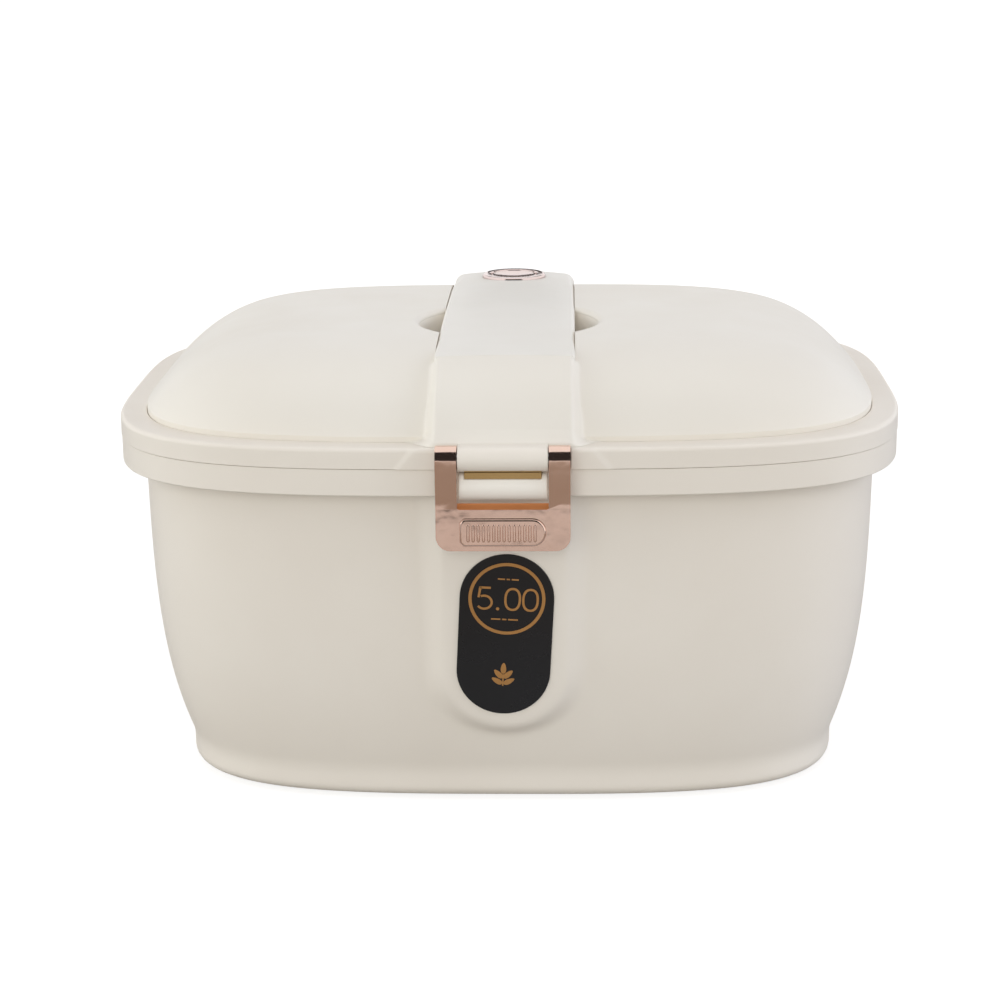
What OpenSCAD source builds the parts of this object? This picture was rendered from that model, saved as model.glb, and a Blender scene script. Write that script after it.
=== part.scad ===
// Rice bin with a flip lid: an oval tub under a collar, a domed lid hinged at
// the back and held by a snap latch at the front, a carrying handle let into
// the lid over a finger well, and a push button that vents the bin.
// Millimetres, +Z up, the front faces -Y, origin at the middle of the base.

/* [Bin] */
// Width over the rims
bin_w = 300; // [260:1:340]
// Depth over the rims
bin_d = 230; // [200:1:260]
// Height of the seam between the collar and the lid
seam_z = 135.3; // [115:0.1:165]
// Gap left at the seam
seam_gap = 0.4; // [0.3:0.05:0.8]
// Squareness of the rims' plan along the width, 2 is an ellipse
rim_px = 3.6; // [2.6:0.1:5]
// Squareness of the rims' plan along the depth
rim_py = 3.75; // [2.6:0.05:5]
// Squareness of the foot's plan along the width
base_px = 3.25; // [2.6:0.05:5]
// Squareness of the foot's plan along the depth
base_py = 4.1; // [2.6:0.05:5]

/* [Tub] */
// Wall of the tub
wall = 2.4; // [1.6:0.1:3.2]
// Floor of the tub
floor_t = 3.2; // [2.4:0.1:5]
// How far the tub's top stands in from the rims
top_inset = 8.5; // [7.5:0.1:10]
// How far the foot stands in from the rims
foot_inset = 22.9; // [16:0.1:30]
// Height of the foot's upright band
foot_h = 13; // [8:0.5:20]
// How much of the side's swell is an even taper
barrel_taper = 2; // [0:0.5:6]
// How fast the rest of the swell comes above the foot
barrel_power = 3.6; // [1.6:0.1:4.4]
// Rounding of the bottom edge
foot_round = 7; // [2:0.5:8]

/* [Feet] */
// Radius of a rubber pad
pad_r = 7; // [5:0.5:10]
// Thickness of a rubber pad
pad_t = 2.2; // [1.8:0.1:3]
// How far a pad stands below the base
pad_stand = 1; // [0.5:0.1:1.5]
// How far the pads stand in from the foot's left and right ends
pad_end_inset = 40; // [34:1:50]
// How far the pads stand in from the foot's front and back
pad_side_inset = 27; // [24:1:36]

/* [Collar] */
// Height of the collar
collar_h = 9.8; // [8.5:0.1:14]
// How far the collar stands in from the lid's rim
collar_inset = 0.2; // [0:0.1:1]
// Thickness of the collar's skirt
skirt_t = 2.6; // [1.6:0.1:3.2]
// Thickness of the collar's top land
land_t = 4; // [3.4:0.1:5]
// How far the mouth stands in from the rims
mouth_inset = 12.5; // [11.5:0.1:16]
// Thickness of the tub's flange under the land
flange_t = 2.6; // [2:0.1:3]

/* [Front pad] */
// Width of the raised pad's face
tongue_w = 47; // [38:1:60]
// Length of the pad below the collar
tongue_l = 92; // [70:1:100]
// Width that the flanks spread to at the tub
tongue_spread = 66; // [62:1:80]
// Lean of the pad's face
tongue_tilt = 5; // [3:0.1:9]
// How far the pad's top stands in from the rims
tongue_inset = 1.6; // [1:0.1:3]
// Gap between the pad's top and the collar
tongue_gap = 0.2; // [0.2:0.05:0.6]

/* [Label] */
// Width of the label
label_w = 34.4; // [24:0.1:38]
// Length of the label
label_l = 63; // [40:0.1:66]
// Middle of the label below the collar
label_drop = 53.6; // [44:0.1:56]
// Thickness of the label
label_t = 0.6; // [0.3:0.1:1.2]
// Turn of the label on the pad, counterclockwise
label_turn = -3.2; // [-4:0.1:4]
// Radius of the printed ring
ring_r = 14; // [9:0.1:14.5]
// Middle of the ring above the middle of the label
ring_rise = 14.3; // [10:0.1:15]
// Line width of the ring
ring_line = 1.2; // [0.6:0.1:2]
// Thickness of the ring's foil
foil_t = 0.15; // [0.1:0.05:0.3]

/* [Lid] */
// Height of the lid's rim
lid_rim_h = 7.6; // [6.6:0.1:10]
// Width of the rim's top ledge, out to the groove
groove_inset = 9.75; // [8.5:0.05:12]
// Upright step of the dome above the ledge
dome_step = 1.9; // [0.8:0.1:3]
// Rise of the dome above its step
dome_h = 26.9; // [20:0.1:32]
// How flat the dome's top is
dome_power = 6.8; // [5:0.1:10]
// Squareness of the dome's plan along the depth
dome_py = 5.5; // [3.5:0.1:6]
// Wall of the lid
lid_wall = 2.4; // [1.8:0.1:3]
// How far the front spine stands above the dome
spine_rise = 4; // [3:0.1:6]

/* [Liner] */
// Thickness of the liner plate
liner_t = 2; // [1.6:0.1:3]
// How far the liner's plug reaches into the mouth
plug_h = 5.6; // [5:0.1:8]
// Wall of the plug
plug_t = 2; // [1.4:0.1:3]
// Height of the gasket
seal_h = 3.6; // [2.6:0.1:4.4]
// Depth of the gasket, from the plug outwards
seal_t = 1.4; // [1:0.1:2]
// Gap between the gasket and the mouth
seal_gap = 0.35; // [0.3:0.05:0.6]
// Radius of a post for the liner's screws
post_r = 3.6; // [3:0.1:5]

/* [Handle] */
// Width of the handle
handle_w = 51.5; // [46:0.5:56]
// Front end of the handle, in from the dome's front edge
handle_in = 21.25; // [18:0.25:28]
// Crest of the handle above the dome
handle_lift = 1.6; // [1:0.1:5]
// Place of the crest, behind the middle
handle_crest = 30; // [10:1:45]
// Fall of the handle from the crest to its front end
handle_fall = 2.9; // [1.5:0.1:4]
// Where the handle turns down, in from the dome's back edge
turn_in = 15.25; // [12:0.25:18]
// Rounding along the handle's edges
handle_round = 4.5; // [3:0.1:5]
// Depth of the handle's seat below the top of the dome
seat_deep = 8.9; // [7:0.1:10.5]
// Gap round the handle in its seat
seat_gap = 0.2; // [0.1:0.05:0.4]
// Radius of the finger well
well_r = 37; // [32:0.5:39]
// Middle of the well, ahead of the middle of the lid
well_ahead = 19; // [10:0.5:22]
// Depth of the well below the top of the dome
well_depth = 29.7; // [26:0.1:31]
// Wall of the well
well_t = 2.2; // [1.6:0.1:3]

/* [Button] */
// Middle of the button, in from the dome's back edge
button_in = 29.25; // [28:0.25:36]
// Outer radius of the bezel
bezel_r = 13.5; // [12:0.1:14]
// Width of the bezel's ring
bezel_w = 3.6; // [2.5:0.1:4]
// How far the bezel stands above the handle
bezel_rise = 1.1; // [0.6:0.1:1.6]
// Running clearance of the cap in the bezel
cap_gap = 0.08; // [0.05:0.01:0.1]
// Travel of the button
press = 2.5; // [1.5:0.1:3]
// Radius of the valve's stem
stem_r = 2; // [1.6:0.1:2.5]
// Running clearance of the stem in its guide
stem_gap = 0.06; // [0.03:0.01:0.1]
// Outer radius of the stem's guide
guide_r = 5; // [4:0.1:6]
// Radius of the valve's rubber disc
disc_r = 8; // [7:0.1:10]
// Thickness of the valve's rubber disc
disc_t = 2; // [1.5:0.1:3]
// Gap between the disc and the liner
disc_gap = 0.3; // [0.2:0.05:0.5]
// Radius of the spring's coil
coil_r = 3.6; // [3:0.1:4.2]
// Radius of the spring's wire
wire_r = 0.45; // [0.3:0.05:0.6]

/* [Latch] */
// Width of the latch
latch_w = 48; // [42:0.5:52]
// Width of each leg
leg_w = 7.7; // [6:0.1:9]
// Thickness of the latch
latch_t = 2; // [1.6:0.1:2.4]
// Outer radius of the latch's knuckles
knuckle_r = 4.8; // [4.2:0.1:5]
// How far the latch's pin stands ahead of the lid's rim
latch_ahead = 3; // [2.6:0.1:3.2]
// Height of the latch's pin above the seam
latch_rise = 4.7; // [4.5:0.1:5]
// Length of the latch below its pin
latch_l = 32.4; // [29:0.1:36]
// Height of the closed plate below the window
plate_h = 14.9; // [12:0.1:17]
// Radius of the latch's pin
latch_pin_r = 1.5; // [1.2:0.1:2]
// Running clearance of the latch on its pin
latch_gap = 0.06; // [0.03:0.01:0.1]
// Height of the raised grip
grip_h = 9.8; // [7:0.1:11]
// Width of the raised grip
grip_w = 30.7; // [24:0.1:36]
// Relief of the raised grip
grip_rise = 1.2; // [0.6:0.1:1.8]
// Radius of the nose between the latch's knuckles
nose_r = 4.5; // [4:0.1:4.6]
// Radius of the catch
catch_r = 4.8; // [4:0.1:4.8]
// Width of the slot between nose and catch
slot_w = 27.6; // [20:0.1:29]
// Height of the slot
slot_h = 3.4; // [2:0.1:4.4]
// Gap between the catch and the latch plate
catch_gap = 0.35; // [0.3:0.05:0.6]

/* [Hinge] */
// Middle of each hinge, out from the middle of the bin
hinge_x = 62; // [50:1:75]
// Width of the lid's knuckle
hinge_mid = 20; // [14:0.5:26]
// Width of each of the collar's knuckles
hinge_side = 9; // [6:0.5:12]
// Outer radius of the hinge knuckles
hinge_r = 4; // [3.4:0.1:4.3]
// Radius of the hinge pins
hinge_pin_r = 2; // [1.5:0.1:2.3]
// Running clearance of the lid on its pins
hinge_gap = 0.06; // [0.03:0.01:0.1]
// How far the hinge pins stand behind the rims
hinge_back = 5; // [4.7:0.1:5.6]

/* [Screws] */
// Radius of a screw's shank
screw_r = 1.4; // [1.2:0.05:1.5]
// Radius of a screw's head
screw_head_r = 2.6; // [2.2:0.1:2.8]
// Height of a screw's head
screw_head_h = 1.8; // [1.2:0.1:2]

/* [Hidden] */

$fn = 48;
hull_fn = 32;
plan_n = 72;
// a sliver, a cut's overrun, and the gaps between fixed pieces
eps = 0.02;
over = 5;
set_gap = 0.1;
side_gap = 0.3;

cream = [0.93, 0.90, 0.84];
rose_gold = [0.82, 0.62, 0.55];
print_gold = [0.80, 0.58, 0.30];
ink = [0.13, 0.12, 0.13];
silicone = [0.88, 0.88, 0.86];
rubber = [0.25, 0.25, 0.26];
steel = [0.72, 0.73, 0.75];

// heights and half sizes that several pieces share
base_z = pad_stand;
collar_top = seam_z - seam_gap / 2;
collar_z = collar_top - collar_h;
land_z = collar_top - land_t;
lid_z = seam_z + seam_gap / 2;
liner_top = lid_z + liner_t;
ledge_z = lid_z + lid_rim_h;
web_z = ledge_z - lid_wall;
dome_z = ledge_z + dome_step;
dome_top = dome_z + dome_h;
dome_a = bin_w / 2 - groove_inset;
dome_b = bin_d / 2 - groove_inset;
skirt_inset = 5.4;

// signed power, and a straight blend between two values
function spow(v, e) = sign(v) * pow(abs(v), e);
function mix(a, b, t) = a + (b - a) * t;

// a point of the oval plan |x/a|^p + |y/b|^q = 1, and one ring of it at height z
function on_oval(a, b, p, q, turn) = [a * spow(cos(turn), 2 / p), b * spow(sin(turn), 2 / q)];
function oval(a, b, p, q, z) =
    [for (i = [0:plan_n - 1]) let (v = on_oval(a, b, p, q, 360 * i / plan_n)) [v.x, v.y, z]];

// the rims' plan, drawn in by an inset
function rim_ring(inset, z) = oval(bin_w / 2 - inset, bin_d / 2 - inset, rim_px, rim_py, z);
module rim_plan(inset) polygon([for (v = rim_ring(inset, 0)) [v.x, v.y]]);
module rim_band(outer, inner, z0, z1)
    translate([0, 0, z0]) linear_extrude(z1 - z0) difference() {
        rim_plan(outer);
        rim_plan(inner);
    }

// a closed skin through a row of rings with equal counts
module loft(rings) {
    n = len(rings[0]);
    last = (len(rings) - 1) * n;
    sides = [for (j = [0:len(rings) - 2], i = [0:n - 1]) let (a = j * n, b = a + n, k = (i + 1) % n)
        each [[a + i, b + i, b + k], [a + i, b + k, a + k]]];
    polyhedron([for (r = rings) each r],
               concat([[for (i = [0:n - 1]) i]], sides, [[for (i = [n - 1:-1:0]) last + i]]));
}

// a rod along X between two stations, a disc at a height, and a copy on each side
module rod(x0, x1, y, z, r) translate([x0, y, z]) rotate([0, 90, 0]) cylinder(h = x1 - x0, r = r);
module disc(z0, z1, r) translate([0, 0, z0]) cylinder(h = z1 - z0, r = r);
module both_sides() for (s = [0, 1]) mirror([s, 0, 0]) children();

// ---- tub ----
// each rounded edge is cut in two steps, the first this share of the way out
round_share = 0.3;
tub_steps = 10;
tub_ease = 1.5;
inside_z = base_z + floor_t;
swell = foot_inset - top_inset - barrel_taper;
function tub_inset(z) = let (t = min(1, 1 - (z - foot_h) / (land_z - foot_h)))
    top_inset + barrel_taper * t + swell * pow(t, barrel_power);
function tub_ring(z, inner) = let (t = z / land_z, d = tub_inset(z) + inner)
    oval(bin_w / 2 - d, bin_d / 2 - d, mix(base_px, rim_px, t), mix(base_py, rim_py, t), z);
side_zs = [for (j = [0:tub_steps]) foot_h + (land_z - foot_h) * pow(j / tub_steps, tub_ease)];

module tub_outside() loft(concat(
    [tub_ring(base_z, foot_round),
     tub_ring(base_z + foot_round * round_share, foot_round * round_share),
     tub_ring(base_z + foot_round, 0)],
    [for (z = side_zs) tub_ring(z, 0)]));

module tub_inside() loft(concat(
    [tub_ring(inside_z, wall + foot_round),
     tub_ring(inside_z + foot_round * round_share, wall + foot_round * round_share)],
    [for (z = side_zs) tub_ring(max(z, inside_z + foot_round), wall)],
    [rim_ring(top_inset + wall, land_z + over)]));

// the raised pad's own frame: origin at the top of its face, y up, z outwards
module on_pad()
    translate([0, tongue_inset - bin_d / 2, collar_z - tongue_gap])
        rotate([90 + tongue_tilt, 0, 0]) children();
pad_skin = 0.5;
pad_deep = 11;
pad_tail = 4;
module tongue_outline(w, l) hull() {
    translate([-w / 2, -pad_skin]) square([w, pad_skin]);
    translate([0, w / 2 - l]) circle(d = w, $fn = hull_fn);
}
module tongue() on_pad() hull() {
    translate([0, 0, -pad_skin]) linear_extrude(pad_skin) tongue_outline(tongue_w, tongue_l);
    translate([0, 0, -pad_deep]) linear_extrude(pad_skin) tongue_outline(tongue_spread, tongue_l + pad_tail);
}

// places of the rubber pads under the four quarters of the base
pad_x = bin_w / 2 - foot_inset - pad_end_inset;
pad_y = bin_d / 2 - foot_inset - pad_side_inset;
module at_pads() for (sx = [-1, 1], sy = [-1, 1]) translate([sx * pad_x, sy * pad_y, 0]) children();

// turns of the collar's screws round the plan, clear of the pad and the hinges
collar_turns = [20, 55, 90, 125, 160, 200, 245, 295, 340];
collar_screw_inset = 5.9;
module at_collar_screws() for (turn = collar_turns)
    let (d = collar_screw_inset, v = on_oval(bin_w / 2 - d, bin_d / 2 - d, rim_px, rim_py, turn))
        translate([v.x, v.y, 0]) children();

module tub() color(cream) difference() {
    union() {
        tub_outside();
        tongue();
        rim_band(collar_inset + skirt_t + seam_gap, top_inset + wall / 2, land_z - flange_t, land_z);
    }
    tub_inside();
    at_pads() disc(base_z - over, pad_t, pad_r + set_gap);
    at_collar_screws() disc(land_z - over, land_z + over, screw_r + set_gap);
}

module foot_pads() color(rubber) at_pads() cylinder(h = pad_t, r = pad_r);

// ---- latch and hinge lines ----
pin_y = -bin_d / 2 - latch_ahead;
pin_z = seam_z + latch_rise;
plate_y = pin_y - knuckle_r + latch_t;
window_w = latch_w - 2 * leg_w;
hinge_y = bin_d / 2 + hinge_back;
hinge_z = seam_z;
mid_x0 = hinge_x - hinge_mid / 2;
mid_x1 = hinge_x + hinge_mid / 2;

// a hinge knuckle with a lug that runs in to the middle of a rim's wall
module knuckle(x0, x1, inset, z0, z1) {
    rod(x0, x1, hinge_y, hinge_z, hinge_r);
    translate([0, 0, z0]) linear_extrude(z1 - z0) difference() {
        translate([x0, 0]) square([x1 - x0, hinge_y]);
        rim_plan(inset);
    }
}

// ---- collar with its knuckles, and the catch let into its front ----
catch_y = plate_y + catch_gap + catch_r;
catch_drop = 0.3;
catch_z = collar_top - catch_r - catch_drop;
catch_side = 0.6;
catch_w = window_w - 2 * catch_side;
catch_root = 1.2;
slot_deep = 1.8;
// share of the slot that lies in the collar
slot_share = 0.75;
thread_room = 0.4;
thread_end = 1;

module slot_cut(z0, z1)
    translate([-slot_w / 2, -bin_d / 2 - over * 2, z0]) cube([slot_w, over * 2 + slot_deep, z1 - z0]);

// the block that joins the catch's round front to its root in the collar
module catch_block() translate([-catch_w / 2, catch_y, catch_z - catch_r])
    cube([catch_w, collar_inset + catch_root - bin_d / 2 - catch_y, catch_r * 2]);

module collar() color(cream) difference() {
    union() {
        rim_band(collar_inset, mouth_inset, land_z, collar_top);
        rim_band(collar_inset, collar_inset + skirt_t, collar_z, land_z);
        both_sides() {
            knuckle(mid_x0 - hinge_side, mid_x0, collar_inset + skirt_t / 2, hinge_z - hinge_r, collar_top);
            knuckle(mid_x1, mid_x1 + hinge_side, collar_inset + skirt_t / 2, hinge_z - hinge_r, collar_top);
        }
    }
    catch_block();
    slot_cut(seam_z - slot_h * slot_share, seam_z + over);
    both_sides() rod(mid_x0 - hinge_side * 2, mid_x1 + hinge_side * 2, hinge_y, hinge_z, hinge_pin_r);
    at_collar_screws() disc(land_z - over, collar_top - thread_end, screw_r + set_gap / 2);
}

module catch() color(cream) difference() {
    union() {
        catch_block();
        intersection() {
            rod(-catch_w / 2, catch_w / 2, catch_y, catch_z, catch_r);
            translate([-catch_w / 2, catch_y - catch_r, catch_z - catch_r])
                cube([catch_w, catch_r, catch_r * 2]);
        }
    }
    slot_cut(seam_z - slot_h * slot_share, seam_z + over);
}

module collar_screws() color(steel) at_collar_screws() {
    disc(land_z - flange_t - screw_head_h, land_z - flange_t, screw_head_r);
    disc(land_z - flange_t, collar_top - thread_end - thread_room, screw_r);
}

pin_short = 0.5;
module hinge_pins() color(steel) both_sides()
    rod(mid_x0 - hinge_side + pin_short, mid_x1 + hinge_side - pin_short, hinge_y, hinge_z, hinge_pin_r);

// ---- label ----
module label_place() on_pad() translate([0, -label_drop, 0]) rotate([0, 0, label_turn]) children();
module stadium(w, l) {
    square([w, l - w], center = true);
    for (s = [-1, 1]) translate([0, s * (l - w) / 2]) circle(d = w);
}
module label_plate() color(ink) label_place() linear_extrude(label_t) stadium(label_w, label_l);
module label_ring() color(print_gold) label_place() translate([0, ring_rise, label_t])
    linear_extrude(foil_t) difference() {
        circle(r = ring_r);
        circle(r = ring_r - ring_line);
    }

// ---- dome ----
// shares of the plan at which the dome's rings stand, from its edge inwards
dome_rhos = [1, 0.985, 0.965, 0.94, 0.91, 0.87, 0.82, 0.75, 0.64, 0.45];
// share of the plan over which its squareness changes
dome_blend = 0.2;
function dome_rise(rho) = dome_h * (1 - pow(rho, dome_power));
function dome_ring(rho, grow, z) =
    oval(dome_a * rho + grow, dome_b * rho + grow, rim_px,
         mix(rim_py, dome_py, min(1, (1 - rho) / dome_blend)), z);
module dome_outside(grow = 0) loft(concat(
    [rim_ring(skirt_inset, liner_top),
     rim_ring(skirt_inset, web_z - set_gap),
     dome_ring(1, grow, web_z - set_gap)],
    [for (rho = dome_rhos) dome_ring(rho, grow, dome_z + dome_rise(rho) + grow)]));
module dome_inside() loft(concat(
    [dome_ring(1, -lid_wall, liner_top - over)],
    [for (rho = dome_rhos) dome_ring(rho, -lid_wall, dome_z + dome_rise(rho) - lid_wall)]));

// a bar along Y with rounded upper edges, whose top follows a list of [y, z]
arc_steps = 4;
arc_turns = [for (k = [0:arc_steps]) 90 * k / arc_steps];
function arc_point(w, top, r, turn) = [w / 2 - r * (1 - cos(turn)), top - r * (1 - sin(turn))];
function bar_ring(y, top, bottom, w, r) = let (right = [for (t = arc_turns) arc_point(w, top, r, t)])
    concat([[-w / 2, y, bottom]],
           [for (v = right) [-v.x, y, v.y]],
           [for (k = [arc_steps:-1:0]) [right[k].x, y, right[k].y]],
           [[w / 2, y, bottom]]);
module bar(path, bottom, w, r)
    loft([for (p = path) bar_ring(p[0], p[1], bottom, w, min(r, p[1] - bottom - eps))]);

// height of the handle's top at y: a shallow arch, then a quarter oval down to the rim
front_y = handle_in - dome_b;
turn_y = dome_b - turn_in;
tail_out = 1.2;
tail_y = dome_b + tail_out;
tail_z = ledge_z + tail_out;
fall_k = handle_fall / pow(front_y - handle_crest, 2);
function arch_z(y) = dome_top + handle_lift - fall_k * pow(y - handle_crest, 2);
function tail_top(y) =
    tail_z + (arch_z(turn_y) - tail_z) * sqrt(max(0, 1 - pow((y - turn_y) / (tail_y - turn_y), 2)));

// height of the spine's top at y, which carries the handle's line down to the rim
spine_over = 0.8;
spine_in = 1.2;
spine_lip = 1.6;
spine_b = dome_b + spine_rise + spine_over;
spine_front = bin_d / 2 - spine_in;
spine_more = 1.4;
spine_w = handle_w + spine_more;
spine_low = dome_z + spine_rise;
function spine_rho(y) = 1 - pow(abs(y) / spine_b, dome_power);
function spine_top(y) = spine_low + (arch_z(front_y) - spine_low) * spine_rho(y) / spine_rho(front_y);
spine_steps = 9;
spine_ease = 1.4;
spine_ys = [for (j = [0:spine_steps]) mix(-spine_b, front_y, pow(j / spine_steps, spine_ease))];
// share of the step up from the rim that lies at the middle of the spine's toe
toe_share = 0.7;
spine_path = concat(
    [[-spine_front, ledge_z + spine_lip],
     [-(spine_b + spine_front) / 2, mix(ledge_z + spine_lip, spine_low, toe_share)]],
    [for (y = spine_ys) [y, spine_top(y)]]);
module spine() bar(spine_path, ledge_z, spine_w, handle_round);

// seat for the handle, and the places of what passes through the dome
seat_z = dome_top - seat_deep;
module seat_box(grow, z)
    translate([-handle_w / 2 - seat_gap - grow, front_y - seat_gap - grow, z])
        cube([handle_w + 2 * (seat_gap + grow), tail_y - front_y + 2 * (seat_gap + grow), dome_h * 2]);
button_y = dome_b - button_in;
module at_well() translate([0, -well_ahead, 0]) children();
module at_button() translate([0, button_y, 0]) children();
well_seat = 0.15;
bezel_in = bezel_r - bezel_w;
sleeve_wall = 1.6;
sleeve_r = bezel_in + sleeve_wall;

// shares of the dome's plan at which the liner's posts stand
liner_spots = [[0.69, 0.62], [0.2, 0.84]];
liner_screw_l = 7;
module at_liner_posts() for (v = liner_spots, sx = [-1, 1], sy = [-1, 1])
    translate([sx * dome_a * v[0], sy * dome_b * v[1], 0]) children();

// the handle's screws stand in two pairs, one ahead of the well and one behind it
handle_screw_x = 14;
handle_screw_in = 12;
handle_screw_back = 40;
handle_screw_l = 4.2;
module at_handle_screws() for (y = [front_y + handle_screw_in, handle_screw_back])
    both_sides() translate([handle_screw_x, y, 0]) children();

// pockets that the latch's knuckles turn in
pocket_gap = 0.35;
module knuckle_pockets() both_sides()
    rod(window_w / 2 - side_gap, latch_w / 2 + side_gap, pin_y, pin_z, knuckle_r + pocket_gap);

module lid_dome() color(cream) difference() {
    union() {
        dome_outside();
        spine();
    }
    difference() {
        dome_inside();
        seat_box(lid_wall, seat_z - lid_wall);
        at_liner_posts() disc(liner_top, dome_top + over, post_r);
    }
    seat_box(0, seat_z);
    at_well() disc(lid_z, dome_top + over, well_r + well_seat);
    at_button() disc(lid_z, dome_top + over, sleeve_r + set_gap);
    at_liner_posts() disc(liner_top - over, liner_top + liner_screw_l + thread_room, screw_r + set_gap / 2);
    at_handle_screws() disc(seat_z - over, seat_z + over, screw_r + set_gap);
    knuckle_pockets();
}

// ---- lid's rim, with the nose in front and knuckles behind ----
rim_round = 1.3;
rim_step = 0.9;
pocket_wall = 2;
module lid_rim() color(cream) difference() {
    union() {
        rim_band(0, lid_wall, lid_z, ledge_z - rim_round);
        rim_band(rim_step, groove_inset - set_gap, web_z, ledge_z);
        rim_band(0, groove_inset - set_gap, web_z, ledge_z - rim_round);
        translate([-window_w / 2 + side_gap, pin_y, lid_z])
            cube([window_w - 2 * side_gap, -pin_y - spine_front - set_gap, pin_z + nose_r - lid_z]);
        intersection() {
            rod(-window_w / 2 + side_gap, window_w / 2 - side_gap, pin_y, pin_z, nose_r);
            translate([-bin_w / 2, -bin_d, lid_z]) cube([bin_w, bin_d, lid_rim_h + over]);
        }
        translate([-latch_w / 2 - lid_wall, lid_wall - eps - bin_d / 2, liner_top + set_gap])
            cube([latch_w + 2 * lid_wall, pocket_wall, web_z - liner_top]);
        both_sides() knuckle(mid_x0 + side_gap, mid_x1 - side_gap, lid_wall / 2, lid_z, hinge_z + hinge_r);
    }
    slot_cut(seam_z - over, seam_z + slot_h * (1 - slot_share));
    knuckle_pockets();
    both_sides() rod(mid_x0 - hinge_side, mid_x1 + hinge_side, hinge_y, hinge_z, hinge_pin_r + hinge_gap);
    rod(-latch_w, latch_w, pin_y, pin_z, latch_pin_r);
}

// ---- finger well: a round cup under the dome, filleted at its floor ----
well_drop = 2;
well_top = dome_top - well_drop;
well_floor = dome_top - well_depth;
cup_r = well_r - well_t;
cup_round = 12;
module finger_well() color(cream) difference() {
    at_well() disc(well_floor - well_t, well_top, well_r);
    at_well() translate([0, 0, well_floor]) rotate_extrude() {
        square([cup_r - cup_round, well_depth]);
        translate([0, cup_round]) square([cup_r, well_depth]);
        translate([cup_r - cup_round, cup_round]) circle(r = cup_round);
    }
    seat_box(0, seat_z);
}

// ---- liner and gasket ----
plug_inset = mouth_inset + seal_gap + seal_t;
liner_inset = lid_wall + side_gap;
vent_gap = 1.2;
module lid_liner() color(cream) difference() {
    union() {
        translate([0, 0, lid_z]) linear_extrude(liner_t) rim_plan(liner_inset);
        rim_band(plug_inset, plug_inset + plug_t, lid_z - plug_h, lid_z);
    }
    at_liner_posts() disc(lid_z - over, liner_top + over, screw_r + set_gap);
    at_button() disc(lid_z - over, liner_top + over, stem_r + vent_gap);
}
seal_drop = 0.2;
seal_top = collar_top - seal_drop;
module lid_seal() color(silicone) rim_band(plug_inset - seal_t, plug_inset, seal_top - seal_h, seal_top);
module liner_screws() color(steel) at_liner_posts() {
    disc(lid_z - screw_head_h, lid_z, screw_head_r);
    disc(lid_z, liner_top + liner_screw_l, screw_r);
}

// ---- handle ----
handle_steps = 16;
tail_steps = 8;
handle_path = concat(
    [for (j = [0:handle_steps]) let (y = mix(front_y, turn_y, j / handle_steps)) [y, arch_z(y)]],
    [for (j = [1:tail_steps]) let (y = mix(turn_y, tail_y, sin(90 * j / tail_steps))) [y, tail_top(y)]]);
bezel_z = arch_z(button_y) + bezel_rise;
bezel_t = 2.2;
module handle() color(cream) difference() {
    bar(handle_path, ledge_z + eps, handle_w, handle_round);
    difference() {
        dome_outside(set_gap);
        seat_box(-seat_gap, seat_z + set_gap);
    }
    at_button() disc(seat_z - over, dome_top + over, sleeve_r + set_gap / 2);
    at_button() disc(bezel_z - bezel_t, bezel_z + over, bezel_r + set_gap);
    at_handle_screws() disc(seat_z - over, seat_z + handle_screw_l + thread_room, screw_r + set_gap / 2);
}
module handle_screws() color(steel) at_handle_screws() {
    disc(seat_z - lid_wall - screw_head_h, seat_z - lid_wall, screw_head_r);
    disc(seat_z - lid_wall, seat_z + handle_screw_l, screw_r);
}

// ---- vent button ----
sleeve_h = 11;
module button_bezel() color(rose_gold) at_button() difference() {
    union() {
        disc(bezel_z - bezel_t, bezel_z, bezel_r);
        disc(bezel_z - sleeve_h, bezel_z, sleeve_r);
    }
    disc(bezel_z - sleeve_h - over, bezel_z + over, bezel_in);
}

cap_drop = 0.4;
cap_h = 6.4;
cap_t = 2.6;
cap_wall = 1.6;
cap_top = bezel_z - cap_drop;
cap_r = bezel_in - cap_gap;
dish_r = 42;
dish_deep = 0.9;
module button_cap() color(rose_gold) at_button() difference() {
    disc(cap_top - cap_h, cap_top, cap_r);
    translate([0, 0, cap_top + dish_r - dish_deep]) sphere(r = dish_r, $fn = 96);
    disc(cap_top - cap_h - over, cap_top - cap_t, cap_r - cap_wall);
}

stem_top = cap_top - cap_t;
disc_top = lid_z - disc_gap;
disc_z = disc_top - disc_t;
nut_h = 1.6;
nut_r = 5;
neck_step = 0.5;
neck_r = stem_r - neck_step;
module valve_stem() color(steel) at_button() {
    disc(disc_top, stem_top, stem_r);
    disc(disc_z - nut_h, disc_top, neck_r);
}
module valve_disc() color(rubber) at_button() difference() {
    disc(disc_z, disc_top, disc_r);
    disc(disc_z - over, disc_top + over, neck_r);
}
module stem_nut() color(steel) at_button() difference() {
    disc(disc_z - nut_h, disc_z, nut_r);
    disc(disc_z - over, disc_z + over, neck_r);
}

// the guide stands on the liner, with cross holes for the air and a foot
spring_turns = 5;
spring_spare = 2;
spring_room = press + spring_turns * 2 * wire_r + spring_spare;
guide_top = stem_top - spring_room;
guide_foot_r = 9;
guide_foot_h = 2;
vent_room = 5;
vent_up = 4;
vent_r = 1.2;
module valve_guide() color(cream) at_button() difference() {
    union() {
        disc(liner_top, guide_top, guide_r);
        disc(liner_top, liner_top + guide_foot_h, guide_foot_r);
    }
    disc(lid_z, guide_top + over, stem_r + stem_gap);
    disc(lid_z, liner_top + vent_room, stem_r + vent_gap);
    for (turn = [0, 90]) rotate([0, 0, turn]) rod(-guide_r * 2, guide_r * 2, 0, liner_top + vent_up, vent_r);
}

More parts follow.
